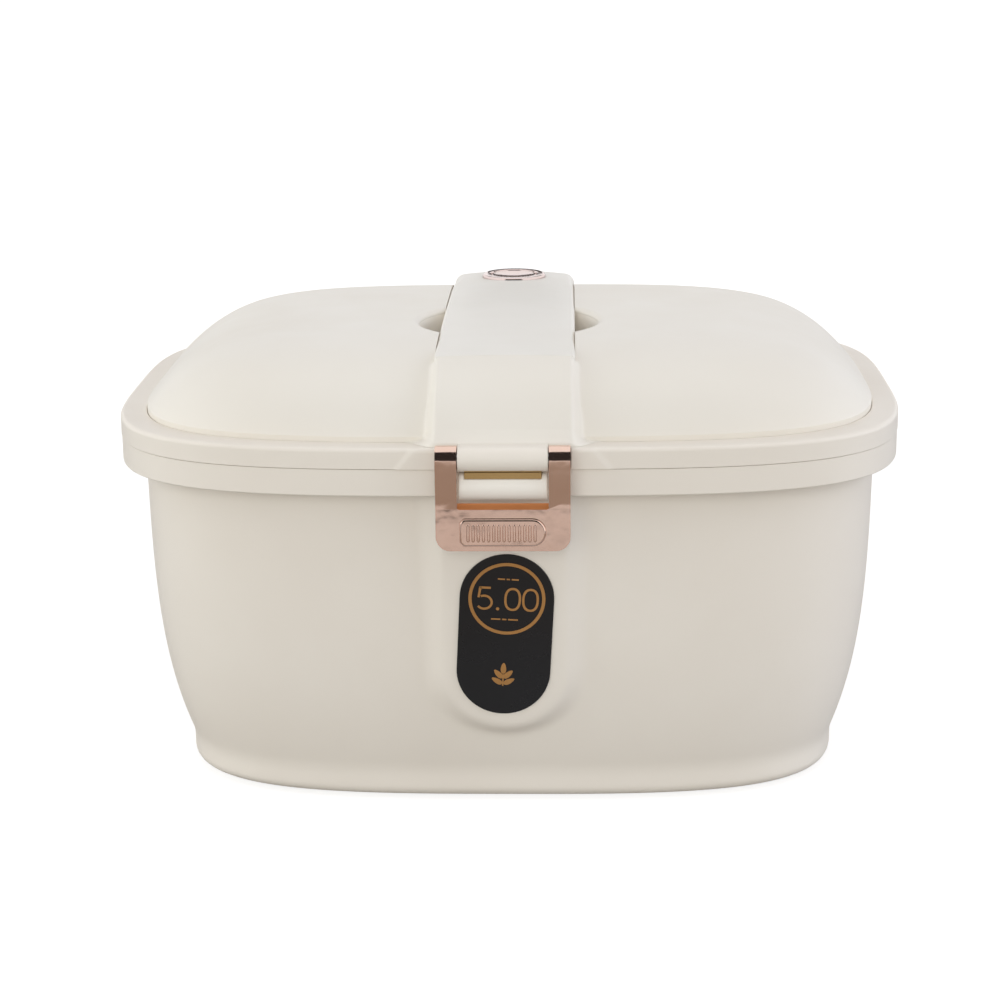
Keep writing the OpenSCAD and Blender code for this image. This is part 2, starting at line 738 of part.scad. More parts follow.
// the spring between the guide and the cap
spring_play = 0.1;
wire_n = 8;
turn_n = 16;
spring_z = guide_top + wire_r + spring_play;
spring_h = spring_room - 2 * (wire_r + spring_play);
function coil_ring(t) = [for (i = [0:wire_n - 1]) let (b = 360 * i / wire_n, d = coil_r + wire_r * sin(b))
    [d * cos(360 * t), d * sin(360 * t), spring_z + spring_h * t / spring_turns + wire_r * cos(b)]];
module button_spring() color(steel) at_button()
    loft([for (j = [0:spring_turns * turn_n]) coil_ring(j / turn_n)]);

// ---- latch ----
module latch_pin() color(steel)
    rod(pin_short - latch_w / 2, latch_w / 2 - pin_short, pin_y, pin_z, latch_pin_r);

// the latch's outline in its own plane, y up from the bottom edge
latch_round = 5;
module latch_outline() difference() {
    union() {
        translate([-latch_w / 2, latch_round]) square([latch_w, latch_l - latch_round]);
        translate([-latch_w / 2 + latch_round, 0]) square([latch_w - 2 * latch_round, latch_round * 2]);
        for (s = [-1, 1]) translate([s * (latch_w / 2 - latch_round), latch_round]) circle(r = latch_round);
    }
    translate([-window_w / 2, plate_h]) square([window_w, latch_l]);
}
grip_up = 6.85;
module latch_frame() color(rose_gold) difference() {
    union() {
        translate([0, plate_y, pin_z - latch_l]) rotate([90, 0, 0]) {
            linear_extrude(latch_t) latch_outline();
            translate([0, grip_up, latch_t]) linear_extrude(grip_rise)
                rotate([0, 0, 90]) stadium(grip_h, grip_w);
        }
        both_sides() rod(window_w / 2, latch_w / 2, pin_y, pin_z, knuckle_r);
    }
    rod(-latch_w, latch_w, pin_y, pin_z, latch_pin_r + latch_gap);
}

tub();
foot_pads();
collar();
catch();
collar_screws();
hinge_pins();
label_plate();
label_ring();
lid_rim();
lid_dome();
finger_well();
lid_liner();
lid_seal();
liner_screws();
handle();
handle_screws();
button_bezel();
valve_guide();
button_spring();
latch_pin();
latch_frame();
button_cap();
valve_stem();
valve_disc();
stem_nut();
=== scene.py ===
# %% [markdown]
# # Rice bin with a flip lid
# An oval plastic bin for five kilograms of rice. A domed lid is hinged at the
# back and held by a rose gold snap latch at the front, a handle bridges a
# finger well in the lid, and a push button lets air in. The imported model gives
# the frame: every piece below stands for a solid of it and rides on its body.

# %% Load the frame
from math import acos, atan2, cos, pi, radians, sin, tan
import bpy
import numpy as np
from mathutils import Matrix, Vector


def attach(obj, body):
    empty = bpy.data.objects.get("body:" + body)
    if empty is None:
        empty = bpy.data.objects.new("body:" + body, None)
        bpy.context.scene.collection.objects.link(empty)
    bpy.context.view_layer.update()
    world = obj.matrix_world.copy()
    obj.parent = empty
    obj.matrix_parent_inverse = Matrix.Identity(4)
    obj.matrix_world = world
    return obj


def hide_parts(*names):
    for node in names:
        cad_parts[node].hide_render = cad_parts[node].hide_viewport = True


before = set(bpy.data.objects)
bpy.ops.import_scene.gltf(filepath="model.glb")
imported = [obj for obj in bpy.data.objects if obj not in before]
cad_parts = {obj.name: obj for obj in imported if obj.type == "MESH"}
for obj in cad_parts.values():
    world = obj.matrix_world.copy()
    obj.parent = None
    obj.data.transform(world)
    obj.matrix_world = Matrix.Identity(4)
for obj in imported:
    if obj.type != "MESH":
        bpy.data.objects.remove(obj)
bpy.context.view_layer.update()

# %% [markdown]
# ## The shared sizes
# All lengths are millimetres, with the front towards -Y and the base at zero.
# They repeat the part's own named values, or differ by half a millimetre, so
# each piece lands where its solid is. Only finished meshes are in metres.

# %% Sizes that several pieces share
MM = 0.001
BIN_W, BIN_D = 300.0, 230.0
SEAM_Z = 135.3
COLLAR_TOP, LID_Z = SEAM_Z - 0.2, SEAM_Z + 0.2
COLLAR_Z, LAND_Z = COLLAR_TOP - 9.8, COLLAR_TOP - 4.0
RIM_P, RIM_Q = 3.6, 3.75
LEDGE_Z = LID_Z + 7.6
WEB_Z = LEDGE_Z - 2.4
DOME_Z, DOME_H = LEDGE_Z + 1.9, 26.9
DOME_TOP = DOME_Z + DOME_H
DOME_A, DOME_B = BIN_W / 2 - 9.75, BIN_D / 2 - 9.75
HANDLE_HALF, CROWN_HALF, FRONT_Y, TURN_Y, SEAT_Z = 25.75, 21, -84.0, 90.0, 163.0
PIN_Y, PIN_Z, CURL_R, LATCH_HALF = -118.0, 140.0, 4.8, 24.0
HINGE_Y, HINGE_Z = 120.0, 135.3
BUTTON_Y, WELL_Y = 76.0, -19.0
BUTTON = [(0, BUTTON_Y)]
print("dome top", DOME_TOP, "ledge", LEDGE_Z)

# %% [markdown]
# ## Turning arrays into meshes
# Moulded shapes are smooth skins, so each is worked out as rows of points and
# joined by quads. Modelling by hand from a cube would drift from the sizes;
# a grid keeps every row on its formula. Whole arrays go in with foreach_set.

# %% Skins, lathes and softened profiles
def columns(*values):
    """Values side by side in a last axis, as the coordinates of points."""
    return np.stack(np.broadcast_arrays(*values), -1)


def skin(rows, ends="poles"):
    """Quads between rows of closed rings, which run counterclockwise round the way the rows
    advance. "poles" closes both ends on their middles, "loop" joins last row to first."""
    m, n = rows.shape[:2]
    i = np.arange(m if ends == "loop" else m - 1)[:, None]
    k = np.arange(n)[None, :]
    a, b, k1 = i * n, (i + 1) % m * n, (k + 1) % n
    quads = columns(a + k, a + k1, b + k1, b + k).reshape(-1, 4)
    points = rows.reshape(-1, 3)
    if ends == "loop":
        return points, [quads]
    poles = (rows[[0, -1]].min(1) + rows[[0, -1]].max(1)) / 2
    k, k1 = k[0], k1[0]
    first = columns(m * n, k1, k)
    last = columns(m * n + 1, (m - 1) * n + k, (m - 1) * n + k1)
    return np.vstack([points, poles]), [quads, np.vstack([first, last])]


def level(outline, z):
    """A flat outline as 3-D points at height z."""
    return columns(*np.asarray(outline, float).T, z)


def capped(rows):
    """The quads of skin between rows of rings, with one flat face on each end."""
    m, n = rows.shape[:2]
    points, (quads,) = skin(rows, "loop")
    k = np.arange(n)
    return points, [quads[:(m - 1) * n], k[::-1][None], ((m - 1) * n + k)[None]]


def merge(*shapes):
    """Several shapes as one, each one's faces counted on from the points before it."""
    points, faces, base = [], [], 0
    for p, fs in shapes:
        points.append(p)
        faces += [f + base for f in fs]
        base += len(p)
    return np.vstack(points), faces


def copies(shape, places):
    """One shape repeated at each place, by adding every place to every point."""
    p, fs = shape
    places = np.asarray(places, float)
    points = (p[None] + places[:, None]).reshape(-1, 3)
    steps = np.arange(len(places))[:, None, None] * len(p)
    return points, [(f[None] + steps).reshape(-1, f.shape[1]) for f in fs]


def soften(corners, steps, closed=True):
    """A profile of corners (u, v, radius), each rolled into an arc that touches both of its sides.
    The arc's middle lies on the corner's bisector, radius / sin(half its angle) away."""
    c = np.asarray(corners, float)
    out = []
    for i, (u, v, r) in enumerate(c):
        if r <= 0 or (not closed and i in (0, len(c) - 1)):
            out.append([[u, v]])
            continue
        p = c[i, :2]
        back, ahead = c[i - 1, :2] - p, c[(i + 1) % len(c), :2] - p
        back, ahead = back / np.linalg.norm(back), ahead / np.linalg.norm(ahead)
        half = acos(np.clip(back @ ahead, -1, 1)) / 2
        mid = p + (back + ahead) / np.linalg.norm(back + ahead) * r / sin(half)
        s, e = p + back * r / tan(half) - mid, p + ahead * r / tan(half) - mid
        a0, a1 = atan2(s[1], s[0]), atan2(e[1], e[0])
        turn = (a1 - a0 + pi) % (2 * pi) - pi
        a = a0 + turn * np.linspace(0, 1, steps + 1)
        out.append(mid + r * columns(np.cos(a), np.sin(a)))
    return np.vstack(out)


def lathe(profile, n, at=(0, 0, 0), axis="z", ends="poles"):
    """A profile (radius, height) turned about Z, or about X when axis is "x"."""
    profile = np.asarray(profile, float)
    a = np.arange(n) * 2 * pi / n
    r, h = profile[:, :1], profile[:, 1:2]
    rows = columns(r * np.cos(a), r * np.sin(a), h)
    if axis == "x":
        rows = rows[..., [2, 0, 1]]
    return skin(rows + np.asarray(at, float), ends)


def rod(x0, x1, y, z, r, edge=0.0):
    """A round bar along X, its two edges rolled by edge."""
    return lathe(soften([(r / 2, x0, 0), (r, x0, edge), (r, x1, edge), (r / 2, x1, 0)], 4, False),
                 48, (0, y, z), "x")


def drill(spots, z0, z1, r, n=32):
    """A plain upright cylinder at each spot, for holes and posts."""
    return copies(lathe([(r, z0), (r, z1)], n), [(x, y, 0) for x, y in spots])


def prism(outline, depth0, depth1, axis):
    """A closed outline carried straight along Y (outline is x, z) or X (outline is y, z), and
    turned round where its sides would face inwards."""
    o = np.asarray(outline, float)
    order = [0, 2, 1] if axis == "y" else [2, 0, 1]
    rows = np.stack([level(o, d)[:, order] for d in (depth0, depth1)])
    area = (o[:, 0] * np.roll(o[:, 1], -1) - np.roll(o[:, 0], -1) * o[:, 1]).sum()
    return capped(rows[:, ::-1] if (area > 0) == (axis == "y") else rows)


def block(x0, x1, y0, y1, z0, z1):
    """A box from its six limits."""
    return prism([(x0, z0), (x1, z0), (x1, z1), (x0, z1)], y0, y1, "y")


def mesh_of(name, shape):
    """A mesh in metres from points in millimetres and arrays of faces."""
    points, faces = shape
    loops = np.concatenate([f.ravel() for f in faces])
    sizes = np.concatenate([np.full(len(f), f.shape[1]) for f in faces])
    starts = np.concatenate([[0], np.cumsum(sizes)[:-1]])
    mesh = bpy.data.meshes.new(name)
    mesh.vertices.add(len(points))
    mesh.vertices.foreach_set("co", (points * MM).ravel())
    mesh.loops.add(len(loops))
    mesh.loops.foreach_set("vertex_index", loops.astype(np.int32))
    mesh.polygons.add(len(sizes))
    mesh.polygons.foreach_set("loop_start", starts.astype(np.int32))
    mesh.update(calc_edges=True)
    mesh.validate()
    return mesh


def carve(obj, *shapes, how="DIFFERENCE"):
    """Cuts the shapes, which don't touch each other, out of obj. UNION joins them on instead, and
    INTERSECT keeps what they share with it."""
    before = len(obj.data.vertices)
    tool = bpy.data.objects.new("tool", mesh_of("tool", merge(*shapes)))
    bpy.context.scene.collection.objects.link(tool)
    cut = obj.modifiers.new("carve", "BOOLEAN")
    cut.operation, cut.solver, cut.object = how, "MANIFOLD", tool
    new = bpy.data.meshes.new_from_object(obj.evaluated_get(bpy.context.evaluated_depsgraph_get()))
    old, obj.data = obj.data, new
    obj.modifiers.clear()
    bpy.data.meshes.remove(old)
    bpy.data.meshes.remove(tool.data)
    if len(new.vertices) == before or not len(new.vertices):
        raise ValueError(f"{obj.name}: a {how.lower()} changed nothing")


def raw(name, shape):
    """A linked object that is still being shaped."""
    obj = bpy.data.objects.new(name, mesh_of(name, shape))
    bpy.context.scene.collection.objects.link(obj)
    return obj


def piece(obj, body, material, slot, *nodes, crease=32, bevel=0.0, even=True):
    """Finishes an object: smooth shading that breaks where faces meet at more than crease degrees,
    its material, its body and the nodes it stands for. Its slot argument is not used."""
    obj.data.polygons.foreach_set("use_smooth", np.ones(len(obj.data.polygons), bool))
    obj.data.set_sharp_from_angle(angle=radians(crease))
    obj.data.materials.clear()
    obj.data.materials.append(material)
    if bevel:
        b = obj.modifiers.new("edges", "BEVEL")
        b.width, b.segments, b.angle_limit = bevel * MM, 3, radians(50)
    if even:
        w = obj.modifiers.new("shading", "WEIGHTED_NORMAL")
        w.keep_sharp = True
    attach(obj, body)
    if nodes:
        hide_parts(*nodes)
    size = np.ptp(obj.bound_box, axis=0)
    print(f"{obj.name}: {len(obj.data.polygons)} faces, {np.round(size / MM, 1)} mm")

# %% [markdown]
# ## The oval plan
# The bin's plan is a superellipse, squarer than an ellipse: |x/a|^p + |y/b|^q
# is 1. Equal steps of its angle crowd the points at the flat sides, so they are
# spaced evenly along the rim instead, and closer by the latch, where the pad,
# the spine and the rim's facets need finer columns.

# %% Columns round the plan
def spow(v, e):
    """The size of v to the power e, with v's sign kept."""
    return np.sign(v) * np.abs(v) ** e


def even_turns(n):
    """Turns of the oval that cut its weighted length in n equal parts, from the front middle."""
    s = np.linspace(0, 1, 4001)[:-1]
    s = s ** 2 / (s ** 2 + (1 - s) ** 2)
    t = (np.concatenate([k + s for k in range(4)] + [[4.0]]) - 1) * pi / 2
    x = DOME_A * spow(np.cos(t), 2 / RIM_P)
    y = DOME_B * spow(np.sin(t), 2 / RIM_Q)
    near = 1 + 1.4 * np.exp(-(x / 42) ** 6) * (y < 0)
    run = np.hypot(np.diff(x), np.diff(y)) * (near[1:] + near[:-1]) / 2
    run = np.concatenate([[0], np.cumsum(run)])
    return np.interp(np.arange(n) * run[-1] / n, run, t)


TURNS = even_turns(600)


def oval_rows(a, b, p, q, z):
    """Rings of the oval, a row for each value of a, b, p, q and z."""
    a, b, p, q, z = (v[:, None] for v in np.broadcast_arrays(*(np.atleast_1d(v).astype(float)
                                                             for v in (a, b, p, q, z))))
    x, y = a * spow(np.cos(TURNS), 2 / p), b * spow(np.sin(TURNS), 2 / q)
    return columns(x, y, z)


def rim_rows(profile):
    """Rings of the rims' plan for a profile of (inset, height)."""
    inset, z = np.asarray(profile, float).T
    return oval_rows(BIN_W / 2 - inset, BIN_D / 2 - inset, RIM_P, RIM_Q, z)


def on_rim(inset, turn):
    """One point of the rims' plan, drawn in by inset, at a turn in degrees."""
    c, s = cos(radians(turn)), sin(radians(turn))
    return ((BIN_W / 2 - inset) * spow(c, 2 / RIM_P), (BIN_D / 2 - inset) * spow(s, 2 / RIM_Q))


def mix(a, b, t):
    """The straight blend from a to b."""
    return a + (b - a) * t


def ramp(v, lo, hi):
    """0 below lo and 1 above hi, with a soft S between: 3t squared less 2t cubed."""
    t = np.clip((v - lo) / (hi - lo), 0, 1)
    return t * t * (3 - 2 * t)


print("columns", len(TURNS))

# %% [markdown]
# ## Finishes
# The shell is satin moulded plastic: it shows a very fine spark texture from
# the mould, a slow drift of tone, and patches that hands have polished. These
# three effects are node groups that several finishes share. Painted pictures
# would need unwrapping; noise on Object coordinates needs none.

# %% Helpers for materials
def tone(r, g, b):
    """A colour picked on screen, 0 to 255, as the linear value that a shader needs."""
    c = np.array([r, g, b]) / 255
    return (*np.where(c <= 0.04045, c / 12.92, ((c + 0.055) / 1.055) ** 2.4), 1.0)


def add_node(tree, kind, props=None, **inputs):
    """A node with its properties and its unlinked inputs set; _ in an input's name is a space."""
    n = tree.nodes.new(kind)
    for key, value in (props or {}).items():
        setattr(n, key, value)
    for key, value in inputs.items():
        n.inputs[key.replace("_", " ")].default_value = value
    return n


def wire(tree, *links):
    """Joins nodes; each link is a node, its output, the next node and its input."""
    for a, output, b, into in links:
        tree.links.new(a.outputs[output], b.inputs[into])


def new_group(name, output, **values):
    """An empty shader group: a Vector and numbers with their start values in, one number out."""
    g = bpy.data.node_groups.new(name, "ShaderNodeTree")
    g.interface.new_socket("Vector", in_out="INPUT", socket_type="NodeSocketVector")
    for label, value in values.items():
        g.interface.new_socket(label, in_out="INPUT", socket_type="NodeSocketFloat").default_value = value
    g.interface.new_socket(output, in_out="OUTPUT", socket_type="NodeSocketFloat")
    return g, g.nodes.new("NodeGroupInput"), g.nodes.new("NodeGroupOutput")

# %% The three shared effects
grain, gi, go = new_group("mould_grain", "Height", Scale=1600.0)
fine = add_node(grain, "ShaderNodeTexNoise", Detail=4.0, Roughness=0.62)
coarse = add_node(grain, "ShaderNodeTexNoise", Detail=2.0, Scale=90.0)
both = add_node(grain, "ShaderNodeMath", {"operation": "MULTIPLY_ADD"})
both.inputs[1].default_value = 0.6
wire(grain, (gi, "Vector", fine, "Vector"), (gi, "Scale", fine, "Scale"), (gi, "Vector", coarse, "Vector"),
     (fine, "Fac", both, 0), (coarse, "Fac", both, 2), (both, 0, go, "Height"))

drift, di, do = new_group("tone_drift", "Mask", Scale=12.0)
slow = add_node(drift, "ShaderNodeTexNoise", Detail=3.0, Roughness=0.5)
span = add_node(drift, "ShaderNodeMapRange", From_Min=0.3, From_Max=0.7)
wire(drift, (di, "Vector", slow, "Vector"), (di, "Scale", slow, "Scale"), (slow, "Fac", span, "Value"),
     (span, "Result", do, "Mask"))

polish, hi, ho = new_group("hand_polish", "Roughness", Least=0.34, Most=0.46)
smear = add_node(polish, "ShaderNodeTexNoise", Scale=38.0, Detail=5.0, Roughness=0.6, Distortion=0.4)
fit = add_node(polish, "ShaderNodeMapRange", From_Min=0.32, From_Max=0.68)
wire(polish, (hi, "Vector", smear, "Vector"), (smear, "Fac", fit, "Value"), (hi, "Least", fit, "To Min"),
     (hi, "Most", fit, "To Max"), (fit, "Result", ho, "Roughness"))
print("groups", [g.name for g in bpy.data.node_groups])

# %% One recipe for every finish
SPARK_DEPTH = 0.0003


def finish(name, dark, light, rough=(0.34, 0.46), drift_scale=12, grain_scale=1600, relief=0.08,
           metallic=0, stretch=(1, 1, 1), ripple=0, **shader):
    """A Principled material. Its colour drifts from dark to light, its roughness follows the hand
    polish between the two values of rough, and the mould grain lifts its surface by relief. The
    drift also bends a plated surface by ripple metres, as thin plating shows every wave."""
    m = bpy.data.materials.new(name)
    m.use_nodes = True
    t = m.node_tree
    bsdf = t.nodes["Principled BSDF"]
    bsdf.inputs["Metallic"].default_value = metallic
    for key, value in shader.items():
        bsdf.inputs[key.replace("_", " ")].default_value = value
    where = t.nodes.new("ShaderNodeTexCoord")
    place = add_node(t, "ShaderNodeMapping", Scale=stretch)
    mask = add_node(t, "ShaderNodeGroup", {"node_tree": drift}, Scale=drift_scale)
    rub = add_node(t, "ShaderNodeGroup", {"node_tree": polish}, Least=rough[0], Most=rough[1])
    spark = add_node(t, "ShaderNodeGroup", {"node_tree": grain}, Scale=grain_scale)
    blend = add_node(t, "ShaderNodeMix", {"data_type": "RGBA"})
    for s in blend.inputs:
        if s.type == "RGBA":
            s.default_value = dark if s.name == "A" else light
    bump = add_node(t, "ShaderNodeBump", Strength=relief, Distance=SPARK_DEPTH)
    wire(t, (where, "Object", place, "Vector"), *[(place, "Vector", g, "Vector") for g in (mask, rub, spark)],
         (mask, "Mask", blend, "Factor"), (rub, "Roughness", bsdf, "Roughness"),
         (spark, "Height", bump, "Height"), (bump, "Normal", bsdf, "Normal"))
    t.links.new([s for s in blend.outputs if s.type == "RGBA"][0], bsdf.inputs["Base Color"])
    if ripple:
        wave = add_node(t, "ShaderNodeBump", Distance=ripple)
        wire(t, (mask, "Mask", wave, "Height"), (wave, "Normal", bump, "Normal"))
    return m


# The dome's cream is painted light: a cooler copy of the cream that stands for cool light falling from above.
# The pale cream is painted light: a lighter copy of the cream that lifts the shade on the catch under the
# nose and on the walls of the finger cup.
CREAM, CREAM_COOL, CREAM_PAINTED_LIGHT, CREAM_PAINTED_TOPLIGHT = (
    finish("cream_" + name, tone(*dark), tone(*light), IOR=1.46) for name, dark, light in (
        ("moulded", (235, 226, 213), (240, 232, 220)), ("handle", (232, 227, 217), (238, 233, 224)),
        ("pale", (246, 239, 227), (249, 243, 233)), ("dome", (232, 225, 213), (236, 230, 219))))
PLATED = {"grain_scale": 500.0, "relief": 0.02, "metallic": 1.0}
ROSE = finish("rose_gold_plate", (0.83, 0.60, 0.50, 1), (0.87, 0.65, 0.55, 1), rough=(0.1, 0.17),
              drift_scale=60, ripple=0.00017, **PLATED)
ROSE_PALE = finish("rose_gold_button", (0.80, 0.66, 0.63, 1), (0.85, 0.71, 0.68, 1), rough=(0.08, 0.14),
                   drift_scale=30, **PLATED)
# The sill's copper tone is a painted reflection of shade: the shaded underside of the catch, seen in the
# plated sill.
SILL_PAINTED_REFLECTION = finish("sill_painted_reflection", tone(205, 128, 74), tone(214, 138, 84), rough=(0.3, 0.42),
                drift_scale=60, metallic=0.4, relief=0.03)
# The slot's tan is painted shade: the khaki of the shaded slot, warmed by light off the rose gold, on a bar
# that fills it.
PAINTED_SLOT_SHADE = finish("painted_slot_shade", tone(176, 143, 90), tone(188, 155, 102), rough=(0.3, 0.42), metallic=0.25)
FILM = finish("black_film", tone(18, 18, 20), tone(25, 25, 28), rough=(0.25, 0.36), relief=0.03)
PRINT = finish("gold_print", tone(190, 140, 84), tone(206, 152, 92), rough=(0.3, 0.42), metallic=0.6,
               relief=0.03)
SILICONE = finish("clear_silicone", tone(222, 222, 218), tone(232, 232, 228), rough=(0.4, 0.55),
                  Transmission_Weight=0.25, IOR=1.41)
RUBBER = finish("black_rubber", tone(46, 46, 48), tone(58, 58, 60), rough=(0.55, 0.75), relief=0.2)
STEEL = finish("plain_steel", tone(168, 170, 172), tone(190, 191, 193), rough=(0.2, 0.32),
               metallic=1.0, stretch=(1, 1, 6), relief=0.04)
print("finishes", len(bpy.data.materials))

# %% [markdown]
# ## The tub
# A barrel-sided tub on an upright foot, with a raised pad on its front that
# carries the label. It is one closed skin: up the outside, round the flange
# and down the inside. The pad isn't a separate block but the front of the same
# skin drawn forwards, so its flanks melt into the barrel as moulded ones do.

# %% The barrel and its front pad
BASE_Z, FLOOR_Z, FOOT_Z, TOP_INSET, FOOT_INSET, WALL = 1.0, 4.2, 13.0, 8.5, 22.3, 2.4
TAPER, SWELL = 2, 3.6
ROLL_IN, ROLL_UP, ROLL_INSIDE = 7.4, 4.9, 7.0
PAD_W, PAD_L, PAD_LEAN, PAD_ROLL, PAD_BLEND = 47.0, 92.0, radians(5), 1.7, 4.5
PAD_Y, PAD_TOP = 1.6 - BIN_D / 2, COLLAR_Z - 0.2
CLEAR_R, PILOT_R = 1.5, 1.45


def soft_least(a, b, k):
    """The lesser of a and b, with a blend k wide where they cross."""
    h = np.clip(0.5 + (b - a) / (2 * k), 0, 1)
    return mix(b, a, h) - k * h * (1 - h)


def barrel_inset(z):
    """How far the side stands in: an even taper and a swell, TAPER t + rest t^SWELL, softly held
    at the foot's own inset."""
    t = np.clip(1 - (z - FOOT_Z) / (LAND_Z - FOOT_Z), 0, 2)
    return soft_least(TOP_INSET + TAPER * t + (FOOT_INSET - TOP_INSET - TAPER) * t ** SWELL, FOOT_INSET, 1.2)


def barrel_rows(inset, z):
    """Rings of the tub, whose plan grows squarer from the foot to the collar."""
    z = np.asarray(z, float)
    return oval_rows(BIN_W / 2 - inset, BIN_D / 2 - inset, mix(3.25, RIM_P, z / LAND_Z),
                     mix(4.1, RIM_Q, z / LAND_Z), z)


def pad_depth(x, z):
    """Y of the pad: a plane that leans back downwards inside a round-ended outline, then a flank
    that falls away with distance from the outline, rolled over at the edge."""
    drop = (PAD_TOP - z) / cos(PAD_LEAN)
    below = np.maximum(drop - (PAD_L - PAD_W / 2), 0)
    out = np.hypot(x, below) - PAD_W / 2
    steep = 11 / mix(9.5, 5.0, (below / np.maximum(np.hypot(x, below), 1e-6)) ** 2)
    roll = (out + np.sqrt(out ** 2 + PAD_ROLL ** 2)) / 2
    return PAD_Y + drop * sin(PAD_LEAN) + steep * roll


angle = np.linspace(0, pi / 2, 8)
base_z = BASE_Z + ROLL_UP * (1 - np.cos(angle))
side_z = np.concatenate([np.linspace(7.2, FOOT_Z + 5, 16), np.linspace(FOOT_Z + 5, PAD_TOP, 76)[1:]])
outside = np.concatenate([
    barrel_rows(FOOT_INSET + ROLL_IN + np.array([66, 42, 20, 7]), np.full(4, BASE_Z)),
    barrel_rows(FOOT_INSET + ROLL_IN * (1 - np.sin(angle)), base_z),
    barrel_rows(barrel_inset(side_z), side_z)])
x, y, z = outside[..., 0], outside[..., 1], outside[..., 2]
padded = soft_least(y, pad_depth(x, z), PAD_BLEND)
outside[..., 1] = np.where((y < 0) & (np.abs(x) < 60) & (z > 8), padded, y)
flange_z = LAND_Z - 2.6
flange = np.concatenate([
    barrel_rows(barrel_inset(np.array([PAD_TOP + 0.06, flange_z])), [PAD_TOP + 0.06, flange_z]),
    rim_rows(soften([(TOP_INSET, flange_z, 0), (3.2, flange_z, 0.4), (3.2, LAND_Z, 0.4),
                     (TOP_INSET + WALL, LAND_Z, 0)], 3, False)[1:-1]),
    rim_rows([(TOP_INSET + WALL - 0.4, LAND_Z)])])
in_z = np.concatenate([[LAND_Z - 0.5], np.linspace(LAND_Z - 3, FLOOR_Z + ROLL_INSIDE + 0.6, 30)])
roll = np.linspace(0, pi / 2, 7)
inside = np.concatenate([
    barrel_rows(barrel_inset(in_z) + WALL, in_z),
    barrel_rows(FOOT_INSET + WALL + ROLL_INSIDE * (1 - np.cos(roll)),
                FLOOR_Z + ROLL_INSIDE * (1 - np.sin(roll))),
    barrel_rows(FOOT_INSET + WALL + ROLL_INSIDE + np.array([20, 58]), np.full(2, FLOOR_Z))])
tub = raw("tub_body", skin(np.concatenate([outside, flange, inside])))

# %% Holes for the collar's screws and the rubber feet
SCREW_TURNS = [20, 55, 90, 125, 160, 200, 245, 295, 340]
SCREW_SPOTS = [on_rim(5.9, t) for t in SCREW_TURNS]
FOOT_SPOTS = [(sx * 87.1, sy * 65.1) for sx in (-1, 1) for sy in (-1, 1)]
carve(tub, drill(SCREW_SPOTS, LAND_Z - 5, LAND_Z + 3, CLEAR_R), drill(FOOT_SPOTS, -2, 2.2, 7.1, 48))
piece(tub, "bin", CREAM, "cream_shell", "tub", crease=40, even=False)

# %% [markdown]
# ## Feet
# Four rubber discs sit in round recesses under the base. Each is a lathe
# profile with a rolled lower edge and a shallow ring groove for grip.

# %% Rubber feet
foot = lathe(soften([(2.6, 0.0, 0.2), (3.2, 0.5, 0.2), (4.0, 0.5, 0.2), (4.6, 0.0, 0.2), (7, 0.0, 0.8),
                     (7, 2.2, 0.3), (0.5, 2.2, 0)], 4, False), 48)
piece(raw("foot_discs", copies(foot, [(sx, sy, 0) for sx, sy in FOOT_SPOTS])),
      "bin", RUBBER, "pad_rubber", "foot_pads", crease=50)

# %% [markdown]
# ## Collar and lid rim
# Two bands meet at the seam. Each is a closed section swept round the oval,
# with rolled edges that catch a line of light. The rim's front face stands a
# little proud beside the latch, inside two slanting creases, because the
# spine's flanks run down over it.

# %% Hinge knuckles
KNUCKLE_R = 4.0


def lug(x0, x1, inset, z0, z1):
    """A block from the hinge line in to the rim's wall, whose inner end follows the oval."""
    xs = np.linspace(x0, x1, 5)
    ys = (BIN_D / 2 - inset) * (1 - (xs / (BIN_W / 2 - inset)) ** RIM_P) ** (1 / RIM_Q)
    plan = np.concatenate([columns(xs, ys), [[x1, HINGE_Y], [x0, HINGE_Y]]])
    return capped(np.stack([level(plan, z) for z in (z0, z1)]))


def flip_x(shape):
    """A shape mirrored to the other side, its faces turned round so that they still face out."""
    p, fs = shape
    return p * [-1, 1, 1], [f[:, ::-1] for f in fs]


def add_knuckles(obj, spans, inset, z0, z1, bore):
    """Joins lugs and round knuckles on both sides, then bores them for the pins."""
    for make in (lambda a, b: lug(a, b, inset, z0, z1),
                 lambda a, b: rod(a, b, HINGE_Y, HINGE_Z, KNUCKLE_R, 0.4)):
        right = [make(a, b) for a, b in spans]
        carve(obj, *right, *[flip_x(s) for s in right], how="UNION")
    hole = rod(40, 84, HINGE_Y, HINGE_Z, bore)
    carve(obj, hole, flip_x(hole))

# %% Collar, with the slot that a strip of painted shade lines
CATCH_HALF, CATCH_Y, CATCH_Z, CATCH_R, CATCH_BACK = 15.7, -115.15, 129.5, 5.3, -113.6
SLOT_FRONT, SLOT_BACK, SLOT_LOW, SLOT_HIGH = -118.6, -113.2, SEAM_Z - 2.55, SEAM_Z + 0.85


def slot_cut(back, z0, z1):
    """A box across the slot, open to the front."""
    return block(-13.8, 13.8, -130, back, z0, z1)


def painted_shade_strip(name, body, z0, z1):
    """A thin bar of painted shade that fills the slot between two heights, with a gap of 0.1 mm round it: its
    tan stands for the shaded inside of the slot, warmed by light off the rose gold.
    """
    piece(raw(name, block(-13.7, 13.7, SLOT_FRONT, SLOT_BACK - 0.1, z0, z1)), body, PAINTED_SLOT_SHADE, "cream_shell",
          crease=30)


